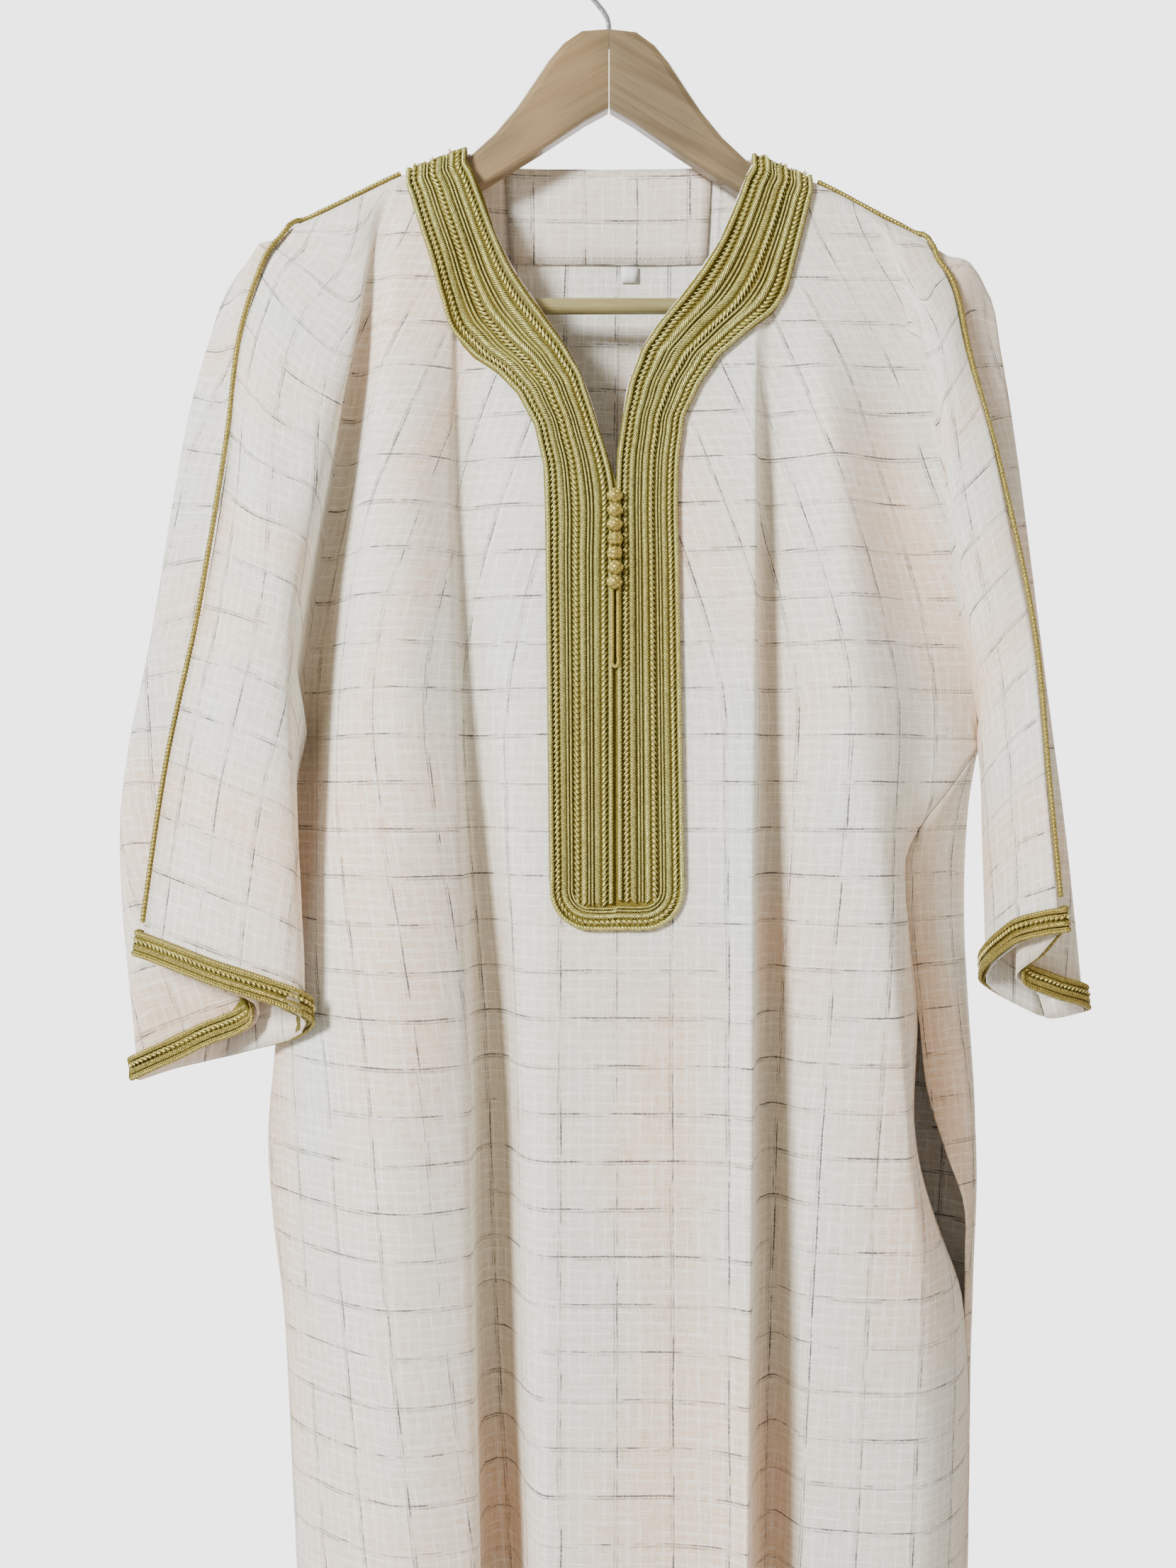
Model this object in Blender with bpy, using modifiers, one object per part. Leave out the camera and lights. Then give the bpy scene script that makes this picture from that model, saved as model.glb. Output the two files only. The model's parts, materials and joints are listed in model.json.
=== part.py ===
"""A short-sleeved djellaba on a wooden hanger.

The robe is a front panel and a back panel, sleeves cut in one with them, joined over the
shoulders and down the sides. Each panel is a wall lofted through its fold lines: every fold
is a curve that falls from the neck or shoulder to the hem, and a row across the cloth is a
smooth curve through all the folds at one height.

Metres, +Z up, +X to the right of the photo, the front of the robe faces -Y.
The origin is the inner crest of the hanger's hook.
"""
import math
from collections import namedtuple

import bmesh
import bpy
import numpy as np
from mathutils import Matrix, Vector
from mathutils.bvhtree import BVHTree

# Driving dimensions, in millimetres
MM = 0.001
WALL = 1.2              # thickness of a cloth panel
SEAM_PULL = 0.45        # how far each edge of a seam stands back from the seam line
LIE = 0.35              # clear space under a piece that lies on a panel
TOUCH = 0.02            # a shortfall of clear space too small to mend
UNDERARM_Z = -490.0     # height where sleeve and side seam part
HEM_Z = -1500.0
SLIT = (-648.0, -842.0)  # top and foot of the side slits
SLIT_LEFT_GAPE = 9.0    # how far the left slit stands open

# Hanger
ARM_THICK = 12.0
ARM_ROUND = 5.0
ARM_CLEAR = 0.7         # clear space between an arm and the cloth over it
HANGER_TILT = 0.02      # the hanger hangs a little lower on the right
ARM_FORWARD = math.radians(3.0)   # each half is turned forward
BAR_RADIUS = 4.8
BAR_Z = -228.0
BAR_HALF = 199.0
HOOK_WIRE = 3.2
HOOK_BEND = 19.0        # radius of the bend, to the wire's middle
WOOD_TOP_Z = -58.0

Fold = namedtuple("Fold", "name soft top path")
Knot = namedtuple("Knot", "z x y")
BraidRow = namedtuple("BraidRow", "out_x out_z in_x in_z")


def fold(name, soft, top, *knots):
    """A fold line: how round it is, where it starts (x, z) and its knots (z, x, y) below."""
    return Fold(name, soft, top, tuple(Knot(*k) for k in knots))


def spline(keys, values, at):
    """Smooth value at `at` through (key, value) pairs, keys rising."""
    keys = np.asarray(keys, float)
    values = np.asarray(values, float)
    at = min(max(at, keys[0]), keys[-1])
    i = int(min(max(np.searchsorted(keys, at, "right") - 1, 0), len(keys) - 2))
    slope = np.gradient(values, keys, axis=0) if len(keys) > 2 else None
    h = keys[i + 1] - keys[i]
    t = (at - keys[i]) / h
    if slope is None:
        return values[i] + (values[i + 1] - values[i]) * t
    a, b = values[i], values[i + 1]
    m, n = slope[i] * h, slope[i + 1] * h
    return ((2 * t**3 - 3 * t**2 + 1) * a + (t**3 - 2 * t**2 + t) * m
            + (-2 * t**3 + 3 * t**2) * b + (t**3 - t**2) * n)


# Shoulder line: the top of the hanger arms with the cloth on them
SHOULDER = ((84, -136), (121, -150.5), (163, -172.5), (189, -186), (206, -197), (217, -207))


def ridge(x):
    """Middle of the cloth on top of the hanger arm at x."""
    away = abs(x)
    z = spline([p[0] for p in SHOULDER], [p[1] for p in SHOULDER], away)
    return np.array([x, -math.tan(ARM_FORWARD) * away, z - HANGER_TILT * x])


# Outline of one half of the hanger, x from the middle and height
ARM_UPPER = ((0.5, -58), (17, -60), (28, -68), (37, -79), (46, -93), (56, -108), (69, -124),
             (84, -138.2), (121, -152.7), (163, -174.7), (189, -188.2), (201, -196))
ARM_LOWER = ((196, -237), (180, -228), (150, -206), (115, -182), (78, -158), (40, -133), (14, -115),
             (0.5, -107))
ARM_TIP = (203.0, -216.0)
ARM_TIP_RADIUS = (11.0, 18.0)


def arm_outline():
    """Outline of one arm, x from the middle and height, round its end."""
    outline = list(ARM_UPPER)
    for angle in (58, 30, 0, -35, -70):
        turn = math.radians(angle)
        outline.append((ARM_TIP[0] + ARM_TIP_RADIUS[0] * math.cos(turn),
                        ARM_TIP[1] + ARM_TIP_RADIUS[1] * math.sin(turn)))
    return outline + list(ARM_LOWER)


def arm_distance(p):
    """Distance from a point to the rounded surface of the arm on its side, negative inside."""
    x = abs(p[0])
    z = p[2] + HANGER_TILT * p[0]
    line = np.array(arm_outline())
    ahead = np.roll(line, -1, axis=0)
    run = ahead - line
    to = np.array([x, z]) - line
    share = np.clip((to * run).sum(axis=1) / (run * run).sum(axis=1), 0, 1)
    flat = np.sqrt(((to - run * share[:, None]) ** 2).sum(axis=1)).min()
    crosses = (line[:, 1] > z) != (ahead[:, 1] > z)
    at = line[:, 0] + (z - line[:, 1]) / np.where(run[:, 1] == 0, 1, run[:, 1]) * run[:, 0]
    if (crosses & (x < at)).sum() % 2:
        flat = -flat
    side = abs(p[1] + math.tan(ARM_FORWARD) * x) - ARM_THICK / 2
    a, b = flat + ARM_ROUND, side + ARM_ROUND
    return math.hypot(max(a, 0), max(b, 0)) + min(max(a, b), 0) - ARM_ROUND


def arm_outward(p):
    """Direction straight away from the arm at a point."""
    step = 0.2
    slope = np.array([arm_distance(p + d) - arm_distance(p - d) for d in np.eye(3) * step])
    return slope / max(np.linalg.norm(slope), 1e-9)


ARM_ZONE_FOOT = -250.0      # points below this height are clear of the arms
ARM_ZONE = (60.0, 235.0)    # and so are points nearer to the middle or further out than this
ARM_ROUNDS = 4              # how often a point is moved off an arm at most


def near_arm(p):
    """Whether a point is close enough to a hanger arm to need testing."""
    return p[2] > ARM_ZONE_FOOT and ARM_ZONE[0] < abs(p[0]) < ARM_ZONE[1]


def off_arm(p, clear):
    """The point, moved straight away from the arm until it is `clear` from it."""
    if not near_arm(p):
        return p
    for _ in range(ARM_ROUNDS):
        short = clear - arm_distance(p)
        if short <= TOUCH / 2:
            break
        p = p + arm_outward(p) * short
    return p


# Neck braid: stations down each side, outer and inner edge
BRAID_LEFT = (
    BraidRow(-118.5, -165, -80.5, -151), BraidRow(-114, -180, -76, -163), BraidRow(-106, -205, -66, -190),
    BraidRow(-100, -229, -57, -210), BraidRow(-93, -249, -45, -229), BraidRow(-80, -263, -34, -245),
    BraidRow(-66, -273, -25, -258), BraidRow(-54, -286, -16, -274), BraidRow(-44, -305, -9, -296),
    BraidRow(-39, -328, -2, -318), BraidRow(-38, -352, 3, -339),
)
BRAID_RIGHT = (
    BraidRow(119, -170, 80.5, -154), BraidRow(116, -182, 76, -166), BraidRow(110, -205, 64, -194),
    BraidRow(105, -224, 53, -212), BraidRow(96, -238, 40, -230), BraidRow(81, -250, 28, -245),
    BraidRow(65, -264, 18, -260), BraidRow(53, -281, 11, -279), BraidRow(44, -300, 7, -299),
    BraidRow(41, -322, 4, -320), BraidRow(40, -345, 3, -339),
)
PLACKET_HEIGHTS = (-385, -435, -485, -535, -568)
BRAID_THICK = 2.1
BRAID_LIE = 0.7         # clear space under the braid, which spans the panel's flat faces
BRAID_BEND = (4, 9)      # stations between which the braid bends and has rows halfway
BRAID_TOP = (121.0, 84.0)   # its outer and inner edge on the shoulder
BRAID_DROPS = (0.3, 1.4, 4.8, 9.5)   # heights of its first rows below the shoulder line
PLACKET_FOOT = -598.0
PLACKET_MIDDLE = 3.0
PLACKET_CORNER = 24.0


def neck_height(x):
    """Height of the neck's inner edge at x."""
    rows = BRAID_LEFT if x < PLACKET_MIDDLE else BRAID_RIGHT
    points = sorted((abs(r.in_x - PLACKET_MIDDLE), r.in_z) for r in rows)
    return float(np.interp(abs(x - PLACKET_MIDDLE), [p[0] for p in points], [p[1] for p in points]))


# Front folds from the middle out: name, softness, x at the top, then z, x, y down the robe
FRONT_MIDDLE = fold("middle", 0.3, 3, (-330, 3, -31), (-490, 3, -41), (-650, 3, -50), (-830, 3, -55),
                    (-1000, 3, -58), (-1500, 3, -60))
FRONT_LEFT = (
    fold("neck_a", 1, -9, (-300, -9, -31), (-490, -12, -41), (-650, -12, -50), (-830, -12, -55),
         (-1000, -12, -58), (-1500, -13, -60)),
    fold("neck_b", 1, -20, (-270, -20, -30), (-490, -24, -41), (-650, -24, -50), (-830, -24, -55),
         (-1000, -25, -58), (-1500, -27, -59)),
    fold("placket", 1, -40, (-240, -40, -29), (-300, -40, -32), (-490, -40, -41), (-650, -37, -50),
         (-830, -36, -54), (-1000, -38, -57), (-1500, -42, -57)),
    fold("rise", 1, -58, (-210, -58, -24), (-300, -62, -29), (-490, -60, -36), (-650, -49, -44),
         (-830, -46, -46), (-1000, -44, -46), (-1500, -46, -44)),
    fold("deep", 1, -74, (-165, -75, -15), (-220, -82, -21), (-300, -86, -21), (-490, -82, -22),
         (-650, -71, -15), (-830, -69, -10), (-1000, -66, -5), (-1500, -66, 2)),
    fold("edge", 0.35, -88, (-140, -88, -13), (-200, -92, -21), (-300, -94, -27), (-490, -89, -38),
         (-650, -83, -48), (-830, -79, -54), (-1000, -74, -59), (-1500, -72, -63)),
    fold("crown", 1, -103, (-150, -104, -14), (-220, -107, -25), (-300, -112, -37), (-490, -120, -53),
         (-650, -124, -62), (-830, -124, -66), (-1000, -122, -68), (-1500, -122, -74)),
    fold("flank", 0.7, -121, (-160, -121, -14), (-210, -125, -25), (-300, -135, -36), (-400, -143, -42),
         (-490, -151, -42), (-590, -163, -36), (-650, -170, -33), (-830, -172, -34),
         (-1000, -170, -36), (-1500, -172, -40)),
    fold("valley", 1, -127, (-160, -127, -15), (-210, -136, -19), (-240, -142, -19), (-300, -152, -10),
         (-400, -167, -4),
         (-490, -176, -1), (-590, -184, -6), (-650, -192, -8), (-830, -191, -12),
         (-1000, -184, -16), (-1500, -188, -18)),
)
UNDERARM_LEFT = fold("underarm", 1, -132, (-162, -132, -15), (-210, -143, -19), (-240, -150, -19),
                     (-300, -160, -13),
                     (-400, -177, -2), (-490, -189, 6))
FRONT_RIGHT = (
    fold("neck_a", 1, 10, (-300, 11, -31), (-490, 14, -41), (-650, 14, -50), (-830, 15, -55),
         (-1000, 15, -58), (-1500, 15, -60)),
    fold("neck_b", 1, 21, (-270, 22, -30), (-490, 28, -41), (-650, 29, -50), (-830, 30, -55),
         (-1000, 31, -58), (-1500, 32, -60)),
    fold("placket", 1, 42, (-240, 42, -29), (-300, 43, -33), (-490, 44, -42), (-650, 46, -51),
         (-830, 48, -56), (-1000, 50, -59), (-1500, 52, -60)),
    fold("panel", 1, 62, (-210, 62, -24), (-300, 66, -35), (-490, 66, -46), (-650, 66, -55),
         (-830, 65, -60), (-1000, 64, -62), (-1500, 62, -65)),
    fold("edge", 0.3, 77, (-165, 77, -16), (-230, 83, -27), (-300, 84, -37), (-490, 82, -50),
         (-650, 80, -60), (-830, 78, -66), (-1000, 76, -69), (-1500, 74, -73)),
    fold("deep", 1, 89, (-150, 89, -15), (-230, 92, -26), (-270, 92, -27), (-330, 92, -25), (-490, 92, -26),
         (-650, 93, -23), (-830, 94, -19), (-1000, 94, -15), (-1500, 95, -8)),
    fold("rise", 1, 99, (-155, 99, -15), (-230, 105, -25.5), (-300, 107, -31), (-490, 110, -38),
         (-650, 113, -40), (-830, 115, -40), (-1000, 114, -38), (-1500, 114, -32)),
    fold("crown", 0.6, 112, (-160, 112, -16), (-245, 122, -28), (-300, 127, -41), (-390, 138, -48),
         (-490, 145, -53), (-590, 155, -53), (-663, 164, -50), (-730, 170, -48), (-800, 176, -46),
         (-1000, 172, -44), (-1500, 172, -44)),
    fold("flank", 1, 132, (-170, 134, -17), (-245, 156, -24), (-300, 162, -26), (-390, 174, -26),
         (-490, 187, -26), (-540, 172, -36), (-590, 170, -40), (-650, 176, -34), (-720, 178, -30),
         (-800, 197, -26), (-1000, 200, -24), (-1500, 200, -22)),
)
UNDERARM_RIGHT = fold("underarm", 0.7, 150, (-185, 160, -17), (-240, 180, -25), (-300, 190, -30),
                      (-400, 203, -26), (-490, 223, -8))

# Side seams below the underarm
SIDE_LEFT = ((-490, -189, 6), (-540, -196, 8), (-600, -201, 9), (-671, -203, 9), (-731, -208, 9),
             (-774, -205, 9), (-837, -197, 9), (-900, -193, 9), (-993, -187, 8), (-1500, -190, 6))
SIDE_RIGHT = ((-490, 223, -8), (-519, 199, -18), (-540, 182, -24), (-558, 173, -27),
              (-595, 176, -24), (-648, 182, -20), (-718, 181, -18), (-746, 186, -15),
              (-785, 199, -9), (-817, 211, -3), (-850, 216, 3), (-1000, 216, 5), (-1500, 213, 5))
# The back edge of the right slit, from its top to its foot
SLIT_BACK_RIGHT = ((-648, 183, -19), (-700, 190, -14), (-734, 202, -8), (-770, 215, -1),
                   (-800, 215, 1), (-842, 215, 2))

# Back folds from the right side to the left one: z, x, y
BACK_UNDERARM_RIGHT = fold("back_arm_right", 1, 150, (-185, 160, 6), (-240, 175, 14), (-300, 190, 20),
                           (-400, 206, 16), (-490, 223, -8))
BACK_UNDERARM_LEFT = fold("back_arm_left", 1, -132, (-162, -134, 3), (-220, -146, 15), (-300, -162, 24),
                          (-400, -180, 24), (-490, -189, 6))
BACK = (
    fold("wrap_right", 0.8, 138, (-180, 145, 8), (-240, 166, 20), (-300, 182, 28), (-400, 204, 26),
         (-490, 221, 4), (-519, 219, 6), (-560, 217, 9), (-600, 217, 10), (-650, 220, 12),
         (-730, 225, 13), (-812, 222, 13), (-1000, 219, 14), (-1500, 216, 14)),
    fold("flute_1", 1, 124, (-165, 128, 8), (-240, 150, 22), (-300, 168, 34), (-400, 186, 42),
         (-490, 192, 38), (-600, 190, 38), (-800, 188, 40), (-1000, 184, 42), (-1500, 182, 46)),
    fold("hollow_1", 1, 112, (-158, 114, 8), (-240, 128, 14), (-300, 136, 18), (-400, 142, 22),
         (-600, 146, 24), (-800, 144, 26), (-1000, 142, 26), (-1500, 140, 24)),
    fold("flute_2", 1, 96, (-150, 97, 9), (-240, 100, 20), (-300, 102, 28), (-400, 104, 36),
         (-600, 104, 44), (-800, 102, 50), (-1000, 100, 54), (-1500, 98, 60)),
    fold("neck_right", 1, 85, (-142, 85, 8), (-240, 84, 21), (-400, 84, 32), (-600, 84, 37),
         (-1000, 82, 42), (-1500, 80, 46)),
    fold("hollow_2", 1, 60, (-150, 62, 14), (-240, 62, 18), (-300, 62, 22), (-400, 60, 25),
         (-600, 60, 28), (-800, 58, 30), (-1000, 58, 30), (-1500, 58, 30)),
    fold("flute_3", 1, 24, (-145, 24, 17), (-240, 22, 22), (-300, 22, 30), (-400, 20, 38),
         (-600, 18, 46), (-800, 16, 52), (-1000, 16, 56), (-1500, 14, 60)),
    fold("hollow_3", 1, -18, (-145, -18, 17), (-240, -20, 19), (-300, -22, 23), (-400, -24, 26),
         (-600, -26, 28), (-800, -28, 28), (-1000, -28, 28), (-1500, -30, 28)),
    fold("flute_4", 1, -62, (-150, -62, 14), (-240, -64, 22), (-300, -66, 30), (-400, -70, 38),
         (-600, -74, 46), (-800, -76, 52), (-1000, -76, 54), (-1500, -78, 60)),
    fold("neck_left", 1, -85, (-142, -85, 8), (-240, -86, 20), (-400, -92, 32), (-600, -96, 36),
         (-1000, -98, 40), (-1500, -100, 42)),
    fold("hollow_4", 1, -97, (-150, -97, 9), (-240, -102, 17), (-300, -106, 22), (-400, -112, 26),
         (-600, -116, 28), (-800, -118, 28), (-1000, -116, 28), (-1500, -118, 26)),
    fold("flute_5", 1, -116, (-160, -118, 8), (-240, -130, 22), (-300, -138, 32), (-400, -148, 42),
         (-490, -156, 44), (-600, -162, 44), (-800, -162, 46), (-1000, -156, 48), (-1500, -160, 50)),
    fold("wrap_left", 1, -125, (-164, -128, 6), (-240, -144, 20), (-300, -154, 30), (-400, -172, 38),
         (-490, -184, 28), (-600, -194, 28), (-730, -200, 29), (-812, -196, 30), (-1000, -181, 30),
         (-1500, -184, 30)),
)
BACK_NECK_RISE = -135.0   # height of the fold across the back neck

# Sleeve folds: softness, then x, y, z at eight stations from shoulder to cuff
SLEEVE_LEFT = {
    "crease": (1, (-183, None, None), (-194, -18, -191.5), (-203, -21, -206), (-216, -23, -252),
               (-223, -27, -317), (-238, -30, -410), (-258, -30, -505), (-274, -30, -614)),
    "middle": (1, (-168, None, None), (-172, -23, -203), (-182, -30, -232), (-192, -37, -280),
               (-200, -42, -338), (-212, -46, -418), (-219, -52, -519), (-226, -52, -628)),
    "inner": (0.8, (-150, None, None), (-150, -25, -211), (-151, -32, -255), (-160, -38, -300),
              (-171, -44, -352), (-184, -45, -432), (-179, -50, -540), (-174, -50, -650)),
    "under": (1, (-189, 6, -490), (-216, 11, -574), (-234, 10, -680)),
    "far": (1, (-143, None, None), (-164, 9, -202), (-188, 6, -232), (-208, 10, -282),
            (-222, 14, -340), (-240, 14, -430), (-262, 13, -560), (-266, 12, -688)),
    "outer": (1, (-156, None, None), (-186, 3, -190), (-223, -6, -212), (-241, -4, -252),
              (-256, -2, -310), (-275, -1, -425), (-295, -1, -540), (-284, -1, -692)),
    "near": (1, (-168, None, None), (-195, -3, -189), (-217, -8, -202), (-233, -8, -252),
             (-244, -9, -312), (-256, -10, -418), (-262, -11, -535), (-244, -8, -672)),
    "turn": (1, (-183, None, None), (-201, -10, -190.5), (-212, -13, -198), (-225, -12, -251),
             (-230, -13, -315), (-228, -17, -414), (-220, -18, -526), (-207, -20, -649)),
    "back_fold": (1, (-183, None, None), (-199, -14.5, -190), (-208, -18, -200), (-219, -17, -252),
                  (-225, -20, -316), (-233, -24, -412), (-238, -25, -515), (-239, -28, -631)),
}
SLEEVE_RIGHT = {
    "crease": (1, (184, None, None), (194, -19, -204), (203, -22, -224), (210, -27, -265),
               (225, -36, -332), (242, -44, -425), (249, -49, -512), (256, -53, -598)),
    "middle": (1, (172, None, None), (185, -23, -208), (196, -27, -233), (202, -34, -280),
               (212, -38, -345), (229, -38, -440), (236, -34, -524), (237, -35, -607)),
    "inner": (0.8, (161, None, None), (175, -25, -214), (190, -29, -244), (195, -34, -292),
              (201, -34, -358), (218, -24, -460), (225, -4, -550), (231, 9, -635)),
    "under": (1, (223, -8, -490), (245, 17, -575), (270, 22, -658)),
    "far": (1, (157, None, None), (177, 10, -209), (202, 10, -238), (218, 12, -286),
            (232, 14, -345), (248, 14, -450), (268, 16, -550), (281, 17, -657)),
    "outer": (1, (164, None, None), (190, 3, -200), (225, -6, -220), (236, -4, -258),
              (247, -1, -325), (261, 0, -435), (275, 0, -537), (287, 1, -650)),
    "near": (1, (171, None, None), (197, -3, -198), (222, -10.5, -212), (228, -10, -258),
             (237, -14, -326), (251, -15, -434), (259, -16, -536), (261, -16, -640)),
    "turn": (1, (184, None, None), (200, -10, -197.8), (216, -15, -208), (218, -17, -260),
             (227, -23, -330), (239, -26, -432), (241, -26, -532), (239, -25, -628)),
    "back_fold": (1, (184, None, None), (198, -14.5, -199.5), (209, -19, -213), (213, -23, -262),
                  (226, -30, -331), (242, -36, -428), (245, -38, -522), (248, -40, -613)),
}
UNDERARM_STATION = 5
LAST_STATION = 7

# Rows of the cloth: part of the way from the top edge to the underarm, and on to the hem
UPPER_ROWS = (0, 0.004, 0.014, 0.036, 0.07, 0.12, 0.19, 0.30, 0.45, 0.62, 0.81, 1)
NECK_ROWS = (0, 0.03, 0.065, 0.11, 0.16, 0.22, 0.29, 0.38, 0.51, 0.66, 0.83, 1)   # under the neck
UPPER_STATIONS = (0, 0.3, 0.6, 0.85, 1.1, 1.4, 1.8, 2.4, 3.1, 3.8, 4.4, 5)        # on the sleeves
LOWER_ROWS = (0.03, 0.068, 0.11, 0.156, 0.21, 0.26, 0.30, 0.349, 0.45, 0.7, 1)
SLEEVE_ROWS = (0.15, 0.35, 0.58, 0.8, 1)
SLEEVE_SUB = 2
SUB = 2                 # columns of the wall in each stretch between two folds
TURN = 12.0             # how far the cloth turns over the arm before it hangs


def fold_at(line, z):
    """Point of a fold at height z."""
    knots = sorted(line.path)
    z_used = min(max(z, knots[0].z), knots[-1].z)
    x, y = spline([k.z for k in knots], [(k.x, k.y) for k in knots], z_used)
    return np.array([x, y, z])


def column(line, neck=False):
    """The fold's points from its top edge to the underarm."""
    heights = NECK_ROWS if neck else UPPER_ROWS
    if neck:
        top = neck_height(line.top)
        start = None
    else:
        start = ridge(line.top)
        top = start[2]
    points = []
    for share in heights:
        z = top + (UNDERARM_Z - top) * share
        p = fold_at(line, z)
        if z > line.path[0].z:
            blend = (z - line.path[0].z) / max(top - line.path[0].z, 1e-6)
            p[0] = line.path[0].x + (line.top - line.path[0].x) * blend
        if start is not None:
            drop = min((top - z) / TURN, 1)
            p[1] = start[1] + (p[1] - start[1]) * math.sqrt(drop * (2 - drop))
        points.append(p)
    return points


def lower(path_or_fold, rows=LOWER_ROWS):
    """The points of a fold or seam from the underarm to the hem."""
    path = path_or_fold.path if isinstance(path_or_fold, Fold) else path_or_fold
    knots = sorted(tuple(k) for k in path)
    points = []
    for share in rows:
        z = UNDERARM_Z + (HEM_Z - UNDERARM_Z) * share
        x, y = spline([k[0] for k in knots], [(k[1], k[2]) for k in knots], z)
        points.append(np.array([x, y, z]))
    return points


BACK_NECK_HALF = 80.0


def front_columns():
    """Fold lines of the front from the left underarm to the right one."""
    return [UNDERARM_LEFT, *reversed(FRONT_LEFT), FRONT_MIDDLE, *FRONT_RIGHT, UNDERARM_RIGHT]


def back_columns():
    """Fold lines of the back from the right underarm to the left one."""
    return [BACK_UNDERARM_RIGHT, *BACK, BACK_UNDERARM_LEFT]


def front_upper(line):
    """A front fold from its top edge to the underarm."""
    return column(line, neck=abs(line.top) < BACK_NECK_HALF)


def back_upper(line):
    """A back fold from the shoulder or the back neck to the underarm."""
    if abs(line.top) > BACK_NECK_HALF:
        return column(line)
    return [fold_at(line, BACK_NECK_RISE + (UNDERARM_Z - BACK_NECK_RISE) * s) for s in NECK_ROWS]


def sleeve_point(stations, at):
    """Point of a sleeve fold at a station number, over the arm before station 1."""
    points = []
    for x, y, z in stations:
        points.append(ridge(x) if y is None else np.array([x, y, z], float))
    first = LAST_STATION + 1 - len(points)
    if at >= 1 or first > 0:
        return spline(range(first, LAST_STATION + 1), points, at)
    turn = at * math.pi / 2
    top = ridge(points[0][0] + (points[1][0] - points[0][0]) * at)
    fall = points[1] - ridge(points[1][0])
    return top + (0, fall[1] * math.sin(turn), fall[2] * (1 - math.cos(turn)))


def sleeve_stations():
    """Station number of each upper row, then of each row below the underarm."""
    low = [UNDERARM_STATION + (LAST_STATION - UNDERARM_STATION) * s for s in SLEEVE_ROWS]
    return list(UPPER_STATIONS), low


def across(points, softs, before, after, sub=SUB):
    """Smooth row through control points: sub points to a stretch, creases where softness is low."""
    run = [before, *points, after]
    out = []
    for i in range(1, len(run) - 2):
        a, b = run[i], run[i + 1]
        span = np.linalg.norm(b - a)
        reach_a = max(np.linalg.norm(b - run[i - 1]), 1e-9)
        reach_b = max(np.linalg.norm(run[i + 2] - a), 1e-9)
        m = (b - run[i - 1]) / reach_a * span * softs[i - 1]
        n = (run[i + 2] - a) / reach_b * span * softs[i]
        for k in range(sub):
            t = k / sub
            out.append((2 * t**3 - 3 * t**2 + 1) * a + (t**3 - 2 * t**2 + t) * m
                       + (-2 * t**3 + 3 * t**2) * b + (t**3 - t**2) * n)
    out.append(np.array(points[-1], float))
    return out


PULL_MOST = 0.4     # the most of a step that an edge is pulled back by


def pull_back(row, start, end):
    """Keep the ends of a row back from their seams, by the distances given."""
    for end_at, beside, pull in ((0, 1, start), (-1, -2, end)):
        step = row[beside] - row[end_at]
        long = max(np.linalg.norm(step), 1e-9)
        row[end_at] = row[end_at] + step / long * min(pull, long * PULL_MOST)
    return row


def garment():
    """Rows of points of both panels: body above and below the underarm, and the sleeves."""
    fronts, backs = front_columns(), back_columns()
    front_up = list(zip(*[front_upper(f) for f in fronts]))
    back_up = list(zip(*[back_upper(b) for b in backs]))
    upper, low = sleeve_stations()
    sleeves = {}
    for side, table in (("left", SLEEVE_LEFT), ("right", SLEEVE_RIGHT)):
        rows = {}
        for name, (_, *stations) in table.items():
            if name != "under":
                rows[name] = [sleeve_point(stations, s) for s in upper + low]
        under = [sleeve_point(table["under"][1:], s) for s in low]
        index = 0 if side == "left" else -1
        rows["front_under"] = [r[index] for r in front_up] + under
        rows["back_under"] = [r[-1 - index if index == 0 else 0] for r in back_up] + under
        sleeves[side] = rows
    side_left, side_right = lower(SIDE_LEFT), lower(SIDE_RIGHT)
    front_low = list(zip(side_left, *[lower(f) for f in fronts[1:-1]], side_right))
    back_left = [p + (0, slit_gape(p[2]), 0) for p in side_left]
    back_right = [slit_back(p) for p in side_right]
    back_low = list(zip(back_right, *[lower(b) for b in backs[1:-1]], back_left))
    return front_up, front_low, back_up, back_low, sleeves


def slit_gape(z):
    """How far the back edge stands behind the front one in the left slit."""
    share = (SLIT[0] - z) / (SLIT[0] - SLIT[1])
    return SLIT_LEFT_GAPE * math.sin(math.pi * share) if 0 < share < 1 else 0.0


def slit_back(p):
    """The back panel's side edge on the right: it stands open along the slit."""
    if not SLIT[1] < p[2] < SLIT[0]:
        return p
    keys = sorted(SLIT_BACK_RIGHT)
    x, y = spline([k[0] for k in keys], [(k[1], k[2]) for k in keys], p[2])
    return np.array([x, y, p[2]])


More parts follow.
